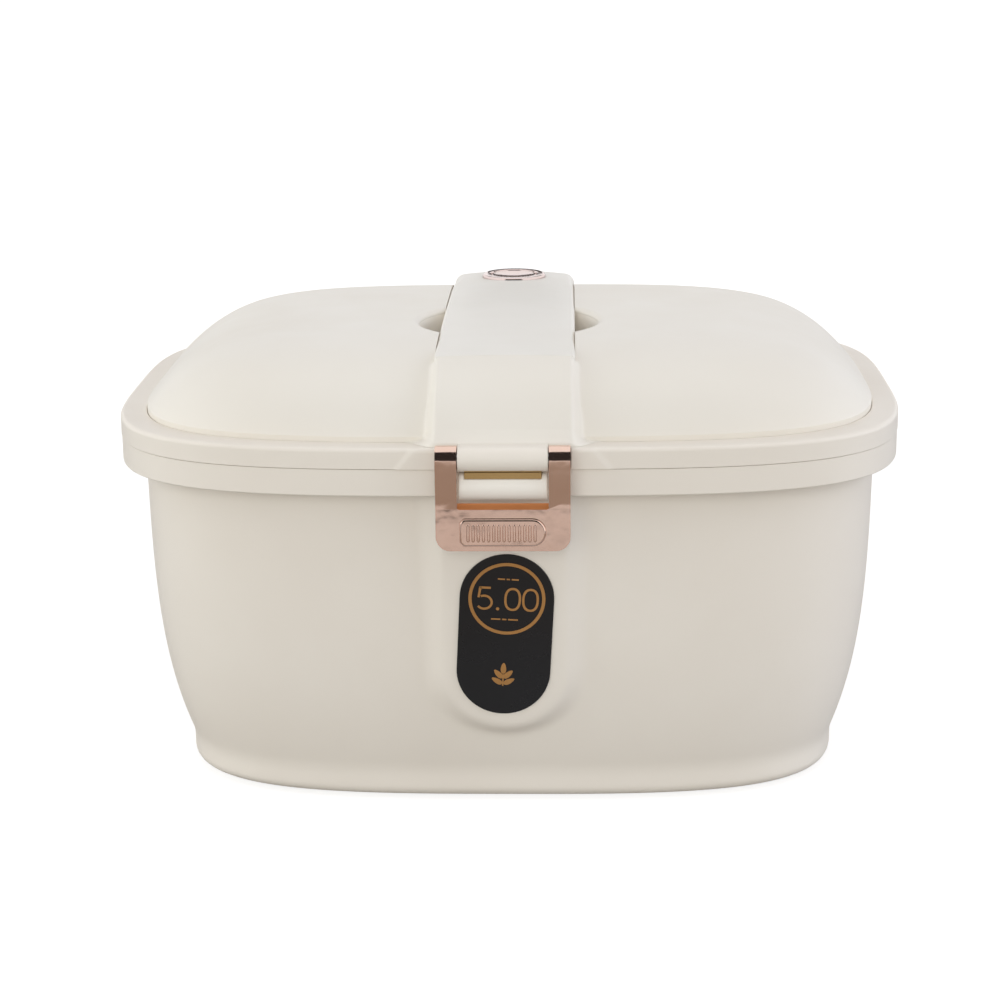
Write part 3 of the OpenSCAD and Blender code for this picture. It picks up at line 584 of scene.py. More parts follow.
collar = raw("collar_band", skin(rim_rows(soften([
    (0.2, COLLAR_Z, 0.6), (0.2, COLLAR_TOP + 0.12, 0.14), (12.5, COLLAR_TOP, 0.8), (12.5, LAND_Z, 0.8),
    (2.8, LAND_Z, 0.3), (2.8, COLLAR_Z, 0.3)], 4)), "loop"))
add_knuckles(collar, [(43, 52), (72, 81)], 1.5, HINGE_Z - 4, COLLAR_TOP, 2.0)
carve(collar, block(-CATCH_HALF, CATCH_HALF, CATCH_Y - 6, CATCH_BACK, CATCH_Z - CATCH_R, CATCH_Z + CATCH_R))
carve(collar, slot_cut(SLOT_BACK, SLOT_LOW, SEAM_Z + 5))
carve(collar, drill(SCREW_SPOTS, LAND_Z - 3, COLLAR_TOP - 1, PILOT_R))
piece(collar, "bin", CREAM, "cream_shell", "collar", crease=40)

# %% Catch
arc = np.linspace(pi / 2, 3 * pi / 2, 25)
d_shape = np.vstack([columns(CATCH_Y + CATCH_R * np.cos(arc), CATCH_Z + CATCH_R * np.sin(arc)),
                     [[CATCH_BACK - 0.05, CATCH_Z - CATCH_R], [CATCH_BACK - 0.05, CATCH_Z + CATCH_R]]])
catch = raw("catch_bar", prism(d_shape, -CATCH_HALF, CATCH_HALF, "x"))
carve(catch, slot_cut(-113.0, SLOT_LOW, SEAM_Z + 5))
# Painted light: the catch lies in the nose's shade, so it gets the lighter cream.
piece(catch, "bin", CREAM_PAINTED_LIGHT, "cream_shell", "catch", crease=30, bevel=0.35)
painted_shade_strip("painted_shade_strip", "bin", SLOT_LOW + 0.1, COLLAR_TOP)

# %% Lid rim, with its slanting creases and the nose over the latch
rim_profile = soften([(0, LID_Z - 0.12, 0.14), (0, LEDGE_Z, 1.5), (9.62, LEDGE_Z, 0.45), (9.62, WEB_Z, 0.1),
                      (2.4, WEB_Z, 0.2), (2.4, LID_Z, 0.3)], 5)
front = np.linspace(LID_Z + 0.6, LEDGE_Z - 1.8, 8)
rim_profile = np.vstack([rim_profile[:6], columns(0, front), rim_profile[6:]])
rows = rim_rows(rim_profile)
x, y, z = rows[..., 0], rows[..., 1], rows[..., 2]
crease_at = mix(39.5, 33.0, (z - LID_Z) / (LEDGE_Z - LID_Z))
outer = ramp(-y, BIN_D / 2 - 2.2, BIN_D / 2 - 1.2)
PROUD = 0.55
rows[..., 1] -= PROUD * np.clip((crease_at - np.abs(x)) / 2.2, 0, 1) * outer
rim = raw("lid_rim_band", skin(rows, "loop"))
NOSE_HALF, NOSE_R = 16.0, 4.5
arc = np.linspace(pi / 2, 1.5 * pi, 25)
nose = columns(PIN_Y + NOSE_R * np.cos(arc), PIN_Z + NOSE_R * np.sin(arc))
nose = np.vstack([nose, [[-113.9, LID_Z], [-113.9, PIN_Z + NOSE_R]]])
add_knuckles(rim, [(52.3, 71.7)], 1.2, LID_Z, HINGE_Z + 4, 2.06)
carve(rim, prism(nose, -NOSE_HALF, NOSE_HALF, "x"), how="UNION")
carve(rim, block(-26.4, 26.4, -112.7, -110.6, LID_Z + 2.1, WEB_Z + 0.5), how="UNION")
carve(rim, slot_cut(SLOT_BACK, SEAM_Z - 5, SLOT_HIGH))
pocket = rod(NOSE_HALF, LATCH_HALF + 0.3, PIN_Y, PIN_Z, CURL_R + 0.35)
carve(rim, pocket, flip_x(pocket))
carve(rim, rod(-48, 48, PIN_Y, PIN_Z, 1.5))
piece(rim, "lid", CREAM, "cream_shell", "lid_rim", crease=35)
painted_shade_strip("painted_shade_strip_lid", "lid", LID_Z - 0.1, SLOT_HIGH - 0.05)

# %% [markdown]
# ## The domed lid
# The dome is a polar skin: its height falls with a high power of the distance
# from the middle, so the top is nearly flat and the edge is steep. The front
# spine is the same skin pushed out to a second profile, and a cosine across it
# gives both its rounded edge and the fillet at its foot. Cuts come last.

# %% Dome skin with its spine
ARCH_FALL, DOME_P = 2.9 / (FRONT_Y - 30) ** 2, 6.8


def arch_z(y):
    """Top of the handle: a shallow parabola with its crest 30 mm behind the middle."""
    return DOME_TOP + 1.6 - ARCH_FALL * (y - 30) ** 2


def dome_z(rho):
    """Height of the dome at a share of its plan: its rise times 1 - rho to the power 6.8."""
    return DOME_Z + DOME_H * (1 - rho ** DOME_P)


def dome_rows(rho, grow, z):
    """Rings of the dome, whose plan grows squarer in depth over the outer fifth."""
    rho, z = np.broadcast_arrays(np.asarray(rho, float), z)
    return oval_rows(DOME_A * rho + grow, DOME_B * rho + grow, RIM_P,
                     mix(RIM_Q, 5.5, np.clip((1 - rho) / 0.2, 0, 1)), z)


SPINE_B, SPINE_LOW, SPINE_HALF = DOME_B + 4.8, DOME_Z + 4.0, 29.0
HEM = 4  # rows from the inner edge to the ledge, before the toe
rho = 1 - np.concatenate([np.linspace(0, 1, 70) ** 1.7 * 0.62, [0.7, 0.8, 0.9]])
toe = np.array([(-113.8, 143.17), (-113.8, 143.9), (-113.6, 144.5), (-113.1, 145.1), (-112.5, 145.8),
                (-111.8, 146.7), (-111.0, 147.8), (-110.4, 148.5)])
step_z = LEDGE_Z + np.array([0.02, 0.08, 0.18, 0.35, 0.6, 0.9, 1.3, 1.8])
profile_y = -DOME_B * rho
profile_z = dome_z(rho)
spine_y = profile_y * mix(1, SPINE_B / DOME_B, ramp(rho, 0.8, 1.0))
share = (1 - (np.abs(spine_y) / SPINE_B) ** DOME_P) / (1 - (abs(FRONT_Y) / SPINE_B) ** DOME_P)
spine_z = SPINE_LOW + (arch_z(FRONT_Y) - SPINE_LOW) * share
push = np.concatenate([np.zeros((HEM, 2)), toe - columns(-DOME_B, step_z),
                       columns(spine_y - profile_y, spine_z - profile_z)])
kept = np.concatenate([np.ones(HEM + len(toe)), ramp(rho, 0.765, 0.795)])
crown = 0.4 * np.clip((np.concatenate([np.zeros(HEM), toe[:, 1], spine_z]) - 146) / 12, 0, 1)
spread = np.concatenate([np.full(HEM, 36.0), SPINE_HALF + 8.0 * np.linspace(1, 0, len(toe)) ** 1.6,
                         mix(27.7, SPINE_HALF, ramp(rho, 0.9, 1.0))])
rows = np.concatenate([
    rim_rows([(5.4, LID_Z + 2), (5.4, WEB_Z - 0.1)]),
    dome_rows(1, 0, WEB_Z - 0.1), dome_rows(1, 0, LEDGE_Z + 0.01), dome_rows(1, 0, step_z),
    dome_rows(rho, 0, profile_z)])
x, y = rows[..., 0], rows[..., 1]
inner = np.minimum(24.2, spread - 3.8)[:, None]
across = np.clip((np.abs(x) - inner) / (spread[:, None] - inner), 0, 1)
weight = (1 + np.cos(pi * across)) / 2 * kept[:, None] * (y < -20)
rows[..., 1] += weight * push[:, :1]
rows[..., 2] += weight * (push[:, 1:] - crown[:, None] * np.minimum(np.abs(x) / CROWN_HALF, 1) ** 2)
dome = raw("lid_dome_shell", skin(rows))

# %% Hollow it, leaving walls round the seat and posts for the liner's screws
low = 1 - np.linspace(0, 1, 26) ** 1.6 * 0.9
hollow = raw("hollow", skin(np.concatenate([dome_rows(1, -WALL, LID_Z - 3),
                                            dome_rows(low, -WALL, dome_z(low) - WALL)])))
POSTS = [(sx * DOME_A * u, sy * DOME_B * v) for u, v in ((0.69, 0.62), (0.2, 0.84)) for sx in (-1, 1)
         for sy in (-1, 1)]
carve(hollow, block(-28.35, 28.35, FRONT_Y - 2.6, 109.0, SEAT_Z - 2.4, 190))
carve(hollow, drill(POSTS, LID_Z + 2, 190, 3.6))
void = (np.array([v.co for v in hollow.data.vertices]) / MM,
        [np.array([list(p.vertices)]) for p in hollow.data.polygons])
bpy.data.meshes.remove(hollow.data)
carve(dome, void)

# %% Cut the seat, the well, the button's hole and the screws' holes
SEAT = (-25.78, 25.78, FRONT_Y - 0.1, 106.65)
lip = np.linspace(0, pi / 2, 10)
CUP_TOP = DOME_TOP - 2.1
WELL_R, LIP_W, LIP_H = 37.85, 3.0, 2.0
well = np.vstack([[(37.12, LID_Z), (37.12, CUP_TOP + 0.03), (WELL_R - LIP_W, CUP_TOP + 0.03)],
                  columns(WELL_R - LIP_W * np.cos(lip), DOME_TOP - LIP_H + LIP_H * np.sin(lip)),
                  [(WELL_R, DOME_TOP + 4)]])
HANDLE_SPOTS = [(sx * 14.0, sy) for sx in (-1, 1) for sy in (FRONT_Y + 12, 40.0)]
carve(dome, block(*SEAT, SEAT_Z, 190))
carve(dome, lathe(well, 160, (0, WELL_Y, 0)))
carve(dome, drill(BUTTON, LID_Z, 190, 11.6, 64), drill(HANDLE_SPOTS, 155, 168, CLEAR_R),
      drill(POSTS, LID_Z - 3, LID_Z + 9.4, PILOT_R))
# Painted light: the dome's cooler cream stands for cool light from above.
piece(dome, "lid", CREAM_PAINTED_TOPLIGHT, "cream_shell", "lid_dome", crease=38)

# %% [markdown]
# ## Finger well
# A round cup hangs under the handle so that fingers can close round it. It is
# a lathe shape, filleted at its floor, and its rim is cut where the handle
# passes over.

# %% Finger cup
CUP_R, CUP_LOW, CUP_FLOOR = 37, 140.0, 142.2
cup = lathe(soften([(4, CUP_LOW, 0), (CUP_R, CUP_LOW, 3), (CUP_R, CUP_TOP, 0.1), (34.8, CUP_TOP, 0.05),
                    (31.6, 156, 6), (28, CUP_FLOOR, 10), (4, CUP_FLOOR, 0)], 10, False), 160, (0, WELL_Y, 0))
cup = raw("finger_cup", cup)
carve(cup, block(*SEAT, SEAT_Z, 190))
# Painted light: the cup's shaded walls get the lighter cream.
piece(cup, "lid", CREAM_PAINTED_LIGHT, "cream_shell", "finger_well", crease=38)

# %% [markdown]
# ## Handle
# A crowned bar runs from the spine over the well and turns down to the rim at
# the back. Its section is carried along two curves at once, the top and the
# underside, so that it keeps its rounded edges where it bends and thins.

# %% Handle bar
TAIL_Y, TAIL_Z = 106.45, 144.3
arch_y = np.linspace(FRONT_Y, TURN_Y, 70)
top = columns(arch_y, arch_z(arch_y))
turn = np.linspace(0, pi / 2, 60)[1:]
tail = columns(TURN_Y + (TAIL_Y - TURN_Y) * np.sin(turn), TAIL_Z + (arch_z(TURN_Y) - TAIL_Z) * np.cos(turn))
rho_t = np.linspace(0.8555, 1, 60)
under = np.vstack([columns(DOME_B * rho_t, dome_z(rho_t)) + 0.1, [[DOME_B + 0.1, LEDGE_Z + 0.05]]])


def along(line, share):
    """Points at equal shares of a polyline's length."""
    run = np.concatenate([[0], np.cumsum(np.hypot(*np.diff(line, axis=0).T))])
    return np.stack([np.interp(share * run[-1], run, line[:, k]) for k in (0, 1)], -1)


steps = np.linspace(0, 1, 26)[1:]
outer_line = np.vstack([top, along(np.vstack([top[-1:], tail]), steps)])
flat = columns(arch_y, SEAT_Z + 0.1)
inner_line = np.vstack([flat, along(np.vstack([flat[-1:], under]), steps)])
EDGE = 0.8
outer_line, inner_line = (np.vstack([v[:1], v[:1] + [EDGE, 0], v[1:]]) for v in (outer_line, inner_line))
thick = np.linalg.norm(outer_line - inner_line, axis=1)
up = (outer_line - inner_line) / thick[:, None]
from_front, at_back = ramp(outer_line[:, 0], -80, -55), ramp(outer_line[:, 0], 48, 84)
r = np.minimum(0.8 + 0.8 * from_front + 2.9 * at_back, thick * 0.75)[:, None]
bulge = (mix(0.4, 1.2, ramp(outer_line[:, 0], -50, 60)) * np.clip(thick / 8, 0, 1))[:, None]
a = np.linspace(0, pi / 2, 9)[None]
half = HANDLE_HALF - np.where(np.arange(len(thick)) == 0, EDGE / 2, 0)[:, None]
shoulder = thick[:, None] - bulge * ((half - r) / CROWN_HALF) ** 2
lx, lh = -half + r * (1 - np.cos(a)), shoulder - r * (1 - np.sin(a))
mx = np.linspace(-1, 1, 26)[None, 1:-1] * (half - r)
mh = thick[:, None] - bulge * (mx / CROWN_HALF) ** 2
bx = np.linspace(1, -1, 12)[None] * half
sx = np.concatenate([lx, mx, -lx[:, ::-1], bx], 1)
sh = np.concatenate([lh, mh, lh[:, ::-1], 0 * bx], 1)
sh[0] = np.clip(sh[0] - EDGE, 0, None)
section = inner_line[:, None] + up[:, None] * sh[..., None]
handle = raw("carry_handle", skin(columns(sx, section[..., 0], section[..., 1])))
BEZEL_Z, BEZEL_R = arch_z(BUTTON_Y) + 1.1, 13.5
BEZEL_LIP = BEZEL_Z - 2.2
carve(handle, drill(BUTTON, 150, 190, 11.55, 64), drill(HANDLE_SPOTS, 155, SEAT_Z + 4.6, PILOT_R))
carve(handle, drill(BUTTON, BEZEL_LIP, 190, BEZEL_R + 0.1, 96))
piece(handle, "lid", CREAM_COOL, "cream_shell", "handle", crease=35)

# %% [markdown]
# ## Vent button
# A rose gold bezel rings a dished cap that slides down 2.5 mm. Both are lathe
# profiles; the dish is a shallow sphere, so it mirrors a small, bent picture
# of the room.

# %% Bezel and cap
bezel = lathe(soften([(11.5, BEZEL_Z - 11, 0.3), (11.5, BEZEL_LIP, 0), (BEZEL_R, BEZEL_LIP, 0.2),
                      (BEZEL_R, BEZEL_Z, 1.1), (9.9, BEZEL_Z, 0.8), (9.9, BEZEL_Z - 11, 0.3)], 6), 96,
              (0, BUTTON_Y, 0), "z", "loop")
piece(raw("bezel_ring", bezel), "lid", ROSE_PALE, "rose_gold", "button_bezel", crease=40)
CAP_TOP, CAP_R, CAP_IN, DISH_R = BEZEL_Z - 0.4, 9.82, 8.22, 42
dish_x = np.linspace(8.7, 0.6, 14)
dish = columns(dish_x, CAP_TOP + DISH_R - 0.9 - np.sqrt(DISH_R ** 2 - dish_x ** 2))
cap = soften([(2, CAP_TOP - 2.6, 0), (CAP_IN, CAP_TOP - 2.6, 0.3), (CAP_IN, CAP_TOP - 6.4, 0),
              (CAP_R, CAP_TOP - 6.4, 0.2), (CAP_R, CAP_TOP, 0.7), (9.0, CAP_TOP, 0)], 5, False)
piece(raw("button_dish", lathe(np.vstack([cap, dish]), 96, (0, BUTTON_Y, 0))), "button", ROSE_PALE,
      "rose_gold", "button_cap", crease=40)

# %% [markdown]
# ## Snap latch
# One plated piece: two legs with knuckles on the pin, a window that frames
# the catch, and a plate that flares forwards for the thumb. Its side profile
# is carried across the full width, then cut to its outline from the front,
# which keeps the flat faces truly flat, as plated metal shows every ripple.

# %% Latch from its side profile and its front outline
WINDOW_HALF, PLATE_LOW, OVER = 16.3, PIN_Z - 32.4, 150
SILL_Z = PLATE_LOW + 14.9
turn = np.linspace(0, 1, 40) * radians(234.3)
curl = columns(PIN_Y - CURL_R * np.cos(turn), PIN_Z + CURL_R * np.sin(turn))
side = np.vstack([[(-123.7, PLATE_LOW), (-122.35, 122.6), (-122.45, 126.0), (-122.8, 137.5)], curl,
                  [(-120.8, 133.0), (-120.5, 122.6), (-121.7, PLATE_LOW)]])
latch = raw("latch_plate", prism(side, -LATCH_HALF, LATCH_HALF, "x"))
outline = soften([(-LATCH_HALF, PLATE_LOW, 5.2), (LATCH_HALF, PLATE_LOW, 5.2), (LATCH_HALF, OVER, 0),
                  (WINDOW_HALF, OVER, 0), (WINDOW_HALF, SILL_Z, 0.9), (-WINDOW_HALF, SILL_Z, 0.9),
                  (-WINDOW_HALF, OVER, 0), (-LATCH_HALF, OVER, 0)], 8)
carve(latch, prism(outline, -140, -100, "y"), how="INTERSECT")
carve(latch, rod(-48, 48, PIN_Y, PIN_Z, 1.56))
piece(latch, "latch", ROSE, "rose_gold", "latch_frame", crease=30, bevel=0.5)

# %% Sill and grip
# The sill's copper tone is painted reflected shade from the catch above it.
sill = [(-122.3, SILL_Z - 0.4), (-121.9, SILL_Z + 0.5), (-121.0, SILL_Z + 1.6), (-120.55, SILL_Z + 1.9),
        (-120.5, SILL_Z - 0.4)]
piece(raw("latch_sill", prism(sill, 0.05 - WINDOW_HALF, WINDOW_HALF - 0.05, "x")), "latch", SILL_PAINTED_REFLECTION,
      "rose_gold", crease=40)
GRIP_HALF, GRIP_R, GRIP_CUT, GRIP_Z, LEAN = 15.35, 4.9, 1.4, PLATE_LOW + 6.85, 0.09
end = np.linspace(-pi / 2, pi / 2, 17)
grip = np.vstack([columns(GRIP_HALF - GRIP_R + GRIP_R * np.cos(end), GRIP_Z + GRIP_R * np.sin(end)),
                  [(GRIP_CUT - GRIP_HALF, GRIP_Z + GRIP_R), (-GRIP_HALF, GRIP_Z + GRIP_R - GRIP_CUT),
                   (-GRIP_HALF, GRIP_Z - GRIP_R + GRIP_CUT), (GRIP_CUT - GRIP_HALF, GRIP_Z - GRIP_R)]])


def lean(shape):
    """Slopes a shape with the plate: a point goes forward by a share of its depth below GRIP_Z."""
    p, fs = shape
    return p + np.outer(LEAN * (p[:, 2] - GRIP_Z), [0, 1, 0]), fs


plaque = raw("grip_plaque", lean(prism(grip, -124.4, -122.0, "y")))
half_round = np.linspace(pi, 2 * pi, 9)
rib = columns(0.6 * np.cos(half_round), 0.5 * np.sin(half_round))
rib_rows = np.stack([level(rib * share, GRIP_Z + h) for share, h in
                     ((0.2, -3.3), (0.8, -3.1), (1, -2.7), (1, 2.7), (0.8, 3.1), (0.2, 3.3))])
ribs = copies(skin(rib_rows), [(rx, -124.3, 0) for rx in np.linspace(-12.4, 11.4, 14)])
piece(plaque, "latch", ROSE, "rose_gold", crease=30, bevel=0.7)
piece(raw("grip_ribs", lean(ribs)), "latch", ROSE, "rose_gold", crease=40)

# %% [markdown]
# ## Label
# A black film with rounded ends sits on the pad, turned a little clockwise.
# Its print is plain: a ring, the filling weight in figures, two rows of short
# strokes where words might stand, and a sprig of rice grains. Each mark is a
# thin raised ribbon, so it keeps crisp edges at any distance.

# %% A frame on the pad, and the black film
LABEL_W, LABEL_L, LABEL_TURN, LABEL_DOWN = 34.4, 63, radians(-3.2), 53.6
PRINT_LOW, PRINT_TOP = 0.58, 0.66
PAD_ORIGIN = np.array([0, PAD_Y, PAD_TOP])
EX, EY = np.array([1.0, 0, 0]), np.array([0, -sin(PAD_LEAN), cos(PAD_LEAN)])
EZ = np.cross(EX, EY)


def on_label(shape):
    """Takes a flat shape (x, y across the label, z out of it) to its place on the pad."""
    p, fs = shape
    c, s = cos(LABEL_TURN), sin(LABEL_TURN)
    x, y = p[:, :1] * c - p[:, 1:2] * s, p[:, :1] * s + p[:, 1:2] * c - LABEL_DOWN
    return PAD_ORIGIN + x * EX + y * EY + p[:, 2:3] * EZ, fs


def slab(outline, z0, z1, edge=0.0):
    """A flat outline (counterclockwise) raised from z0 to z1, its top edge drawn in by edge."""
    o = np.asarray(outline, float)
    out = np.roll(o, -1, 0) - np.roll(o, 1, 0)
    out = columns(out[:, 1], -out[:, 0]) / np.linalg.norm(out, axis=1, keepdims=True)
    rolled = [(0, z1 - edge), (edge * 0.3, z1 - edge * 0.3)] if edge else []
    return capped(np.stack([level(o - out * d, z) for d, z in [(0, z0), *rolled, (edge, z1)]]))


def stadium(w, l):
    """A round-ended outline, counterclockwise."""
    a = np.linspace(0, pi, 33)
    end = columns(np.cos(a), np.sin(a)) * w / 2
    return np.vstack([end + [0, (l - w) / 2], -end - [0, (l - w) / 2]])


piece(raw("label_film", on_label(slab(stadium(LABEL_W, LABEL_L), -0.25, 0.6, 0.22))), "bin", FILM,
      "label_black", "label_plate", crease=50)

# %% Ring, figures, strokes and grains
def ribbon(points, width):
    """A stroke of a width along a polyline: the line set off to both sides along its own normal."""
    p = np.asarray(points, float)
    d = np.gradient(p, axis=0)
    n = columns(-d[:, 1], d[:, 0]) / np.linalg.norm(d, axis=1, keepdims=True) * width / 2
    return slab(np.vstack([p - n, (p + n)[::-1]]), PRINT_LOW, PRINT_TOP)


def arc_points(cx, cy, rx, ry, a0, a1, n):
    """Points of an ellipse from a0 to a1 degrees."""
    a = np.radians(np.linspace(a0, a1, n))
    return columns(cx + rx * np.cos(a), cy + ry * np.sin(a))


RING_Y = 14.3
ring = lathe([(14.0, 0.55), (14.0, 0.75), (12.8, 0.75), (12.8, 0.55)], 96, (0, RING_Y, 0), "z", "loop")
piece(raw("label_ring_foil", on_label(ring)), "bin", PRINT, "label_gold", "label_ring", crease=30)


STROKE, WORD_STROKE = 0.85, 0.55


def zero(cx, cy):
    """A nought, 6.1 wide and 9 high: one oval ring, an outline within an outline."""
    a = np.radians(np.arange(48) * 7.5)
    o, i = (columns(cx + spow(np.cos(a), 0.85) * (3.05 - d), cy + spow(np.sin(a), 0.85) * (4.5 - d))
            for d in (0, STROKE))
    rows = [level(e, z) for e, z in ((o, PRINT_LOW), (o, PRINT_TOP), (i, PRINT_TOP), (i, PRINT_LOW))]
    return skin(np.stack(rows), "loop")


FIG_Y = RING_Y - 0.1
bowl = arc_points(-8.2, FIG_Y - 1.6, 2.75, 2.55, 118, -142, 36)
five = [ribbon(line, STROKE) for line in
        ([(-6.0, FIG_Y + 4.1), (-9.9, FIG_Y + 4.1)], [(-9.75, FIG_Y + 4.4), (-10.3, FIG_Y + 0.2)], bowl)]
dot = slab(arc_points(-3.2, FIG_Y - 3.95, 0.62, 0.62, 0, 345, 24), PRINT_LOW, PRINT_TOP)
words = [ribbon([(wx, RING_Y + wy), (wx + wl, RING_Y + wy)], WORD_STROKE) for wy, row in
         ((7.6, ((-3.6, 2.6), (-0.4, 1.2), (1.4, 2.6))), (-8.1, ((-5.4, 3.4), (-1.4, 1.6), (0.8, 3.6))))
         for wx, wl in row]
marks = merge(*five, dot, zero(2.1, FIG_Y), zero(8.6, FIG_Y), *words)
piece(raw("label_figures", on_label(marks)), "bin", PRINT, "label_gold", crease=30, even=False)


def grain_shape(cx, cy, turn):
    """A rice grain, 4.4 by 2: an oval pointed at its outer end and turned about its inner end."""
    a = np.radians(np.arange(32) * 11.25)
    u = 2.2 + 2.2 * np.cos(a)
    v = np.sin(a) * (1 - 0.25 * np.cos(a))
    c, s = cos(radians(turn)), sin(radians(turn))
    return slab(columns(cx + u * c - v * s, cy + u * s + v * c), PRINT_LOW, PRINT_TOP + 0.02, 0.05)


SPRIG_Y = -15.6
sprig = [grain_shape(0.35 * cos(radians(t)), SPRIG_Y - 3.4 + h, t) for t, h in
         ((90, 3.6), (135, 1.9), (45, 1.9), (150, -0.4), (30, -0.4))]
stalk = ribbon([(0, SPRIG_Y - 4.6), (0, SPRIG_Y + 0.1)], 0.5)
piece(raw("label_sprig", on_label(merge(*sprig, stalk))), "bin", PRINT, "label_gold", crease=30, even=False)

# %% [markdown]
# ## Inside the lid
# A flat liner closes the dome and carries a plug and a soft gasket that seal
# the mouth. Pan-head screws hold it to posts in the dome.

# %% Liner, gasket and screws
PLUG, PLUG_LOW, PLATE_T = 14.25, LID_Z - 5.6, 2
plug = soften([(60, LID_Z, 0), (PLUG + 2, LID_Z, 0.3), (PLUG + 2, PLUG_LOW, 0.6), (PLUG, PLUG_LOW, 0.6),
               (PLUG, LID_Z, 0.3), (2.7, LID_Z, 0.4), (2.7, LID_Z + PLATE_T, 0.4), (60, LID_Z + PLATE_T, 0)],
              4, False)
liner = raw("liner_plate", skin(rim_rows(plug)))
carve(liner, drill(BUTTON, LID_Z - 3, LID_Z + 5, 3.2), drill(POSTS, LID_Z - 3, LID_Z + 5, CLEAR_R))
piece(liner, "lid", CREAM, "cream_shell", "lid_liner", crease=38)
GASKET, GASKET_LOW, GASKET_TOP = 12.85, LID_Z - 4.2, LID_Z - 0.6
gasket = rim_rows(soften([
    (GASKET, GASKET_LOW, 0.6), (GASKET, GASKET_LOW + 1.2, 0.3), (GASKET + 0.45, GASKET_LOW + 1.6, 0.2),
    (GASKET, GASKET_LOW + 2.1, 0.3), (GASKET, GASKET_TOP, 0.6), (PLUG - 0.05, GASKET_TOP, 0.2),
    (PLUG - 0.05, GASKET_LOW, 0.2)], 3))
piece(raw("gasket_ring", skin(gasket, "loop")), "lid", SILICONE, "silicone", "lid_seal", crease=50)


def pan_screw(z_head, z_neck, z_tip):
    """A screw along Z, head down: a domed head from z_head to z_neck, then thread rings to z_tip."""
    head = soften([(0.9, z_head + 0.75, 0), (0.9, z_head, 0.1), (2.6, z_head, 0.8), (2.6, z_neck, 0.1),
                   (1.35, z_neck, 0)], 4, False)
    z = np.linspace(z_neck + 0.1, z_tip - 0.6, max(6, int((z_tip - z_neck) / 0.22)))
    thread = columns(1.22 + 0.15 * np.abs(np.mod((z - z_neck) / 0.9 * 2, 2) - 1), z)
    return lathe(np.vstack([head, thread, [(0.5, z_tip)]]), 20)


for screws, body, spots, heights in (
        ("collar_screws", "bin", SCREW_SPOTS, (LAND_Z - 4.4, LAND_Z - 2.6, COLLAR_TOP - 1.4)),
        ("liner_screws", "lid", POSTS, (LID_Z - 1.8, LID_Z, LID_Z + 9)),
        ("handle_screws", "lid", HANDLE_SPOTS, (SEAT_Z - 4.2, SEAT_Z - 2.4, SEAT_Z + 4.2))):
    many = copies(pan_screw(*heights), [(px, py, 0) for px, py in spots])
    piece(raw(screws + "_set", many), body, STEEL, "steel", screws, crease=40)

# %% [markdown]
# ## Parts that keep their solid
# The pins, the spring, the guide, the stem, its disc and its nut are turned or
# wound parts whose solids are already right, so they only get a finish.

# %% Finishes for the kept nodes
for material, names in ((STEEL, ("hinge_pins", "latch_pin", "button_spring", "valve_stem", "stem_nut")),
                        (CREAM, ("valve_guide",)), (RUBBER, ("valve_disc",))):
    for name in names:
        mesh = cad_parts[name].data
        mesh.materials.clear()
        mesh.materials.append(material)
    print(material.name, names)

# %% [markdown]
# ## Floor, light and camera
# The bin stands on pale paper in soft light, cooler from the sides. For the
# camera Light Path lifts the paper to white, so no extra light falls on the bin
# and its soft shadow stays. Plated metal shows whatever stands round it, so
# cards that only mirrors see stand and lie about the table: without them rose
# gold in a white room would look like pink plastic.

# %% Floor
def emitter(name, colour, strength):
    """A material with one emission node: the material, its tree and that node."""
    m = bpy.data.materials.new(name)
    m.use_nodes = True
    t = m.node_tree
    t.nodes.remove(t.nodes["Principled BSDF"])
    return m, t, add_node(t, "ShaderNodeEmission", Color=(*colour, 1), Strength=strength)


floor = raw("floor", block(-9000, 9000, -9000, 30000, -0.05, 0))
m, t, lift = emitter("floor_paper", (1, 1, 1), 0.72)
paper = add_node(t, "ShaderNodeBsdfDiffuse", Color=(0.4, 0.385, 0.37, 1))
total = t.nodes.new("ShaderNodeAddShader")
seen = t.nodes.new("ShaderNodeLightPath")
pick = t.nodes.new("ShaderNodeMixShader")
wire(t, (paper, 0, total, 0), (lift, 0, total, 1), (seen, "Is Camera Ray", pick, 0), (paper, 0, pick, 1),
     (total, 0, pick, 2), (pick, 0, t.nodes["Material Output"], "Surface"))
floor.data.materials.append(m)

# %% Cards that only mirrors see
def card(name, half, y0, z0, y1, z1, colour):
    """A plain sheet from -half to half between (y0, z0) and (y1, z1), for glossy rays only."""
    corners = [(-half, y0, z0), (half, y0, z0), (half, y1, z1), (-half, y1, z1)]
    obj = raw(name, (np.array(corners, float), [np.array([[0, 1, 2, 3]])]))
    m, t, glow = emitter(name, colour, 1.0)
    wire(t, (glow, 0, t.nodes["Material Output"], "Surface"))
    obj.data.materials.append(m)
    for ray in ("camera", "diffuse", "transmission", "volume_scatter", "shadow"):
        setattr(obj, "visible_" + ray, False)


DARK, BROWN, BEHIND = (0.03, 0.028, 0.028), (0.05, 0.04, 0.04), BUTTON_Y + 24
card("table_card", 700, -240, 1, -760, 1, (0.36, 0.30, 0.25))
card("paper_card", 1400, -760, 1, -9000, 1, (0.68, 0.64, 0.61))
card("front_card", 1100, -1600, 60, -1600, 2200, DARK)
card("top_card", 1100, -1600, 2200, -740, 2200, DARK)
card("button_card_high", 24, BEHIND, 188, BEHIND, 200, BROWN)
card("button_card_low", 12, BEHIND, 175.2, BEHIND, 178.5, BROWN)

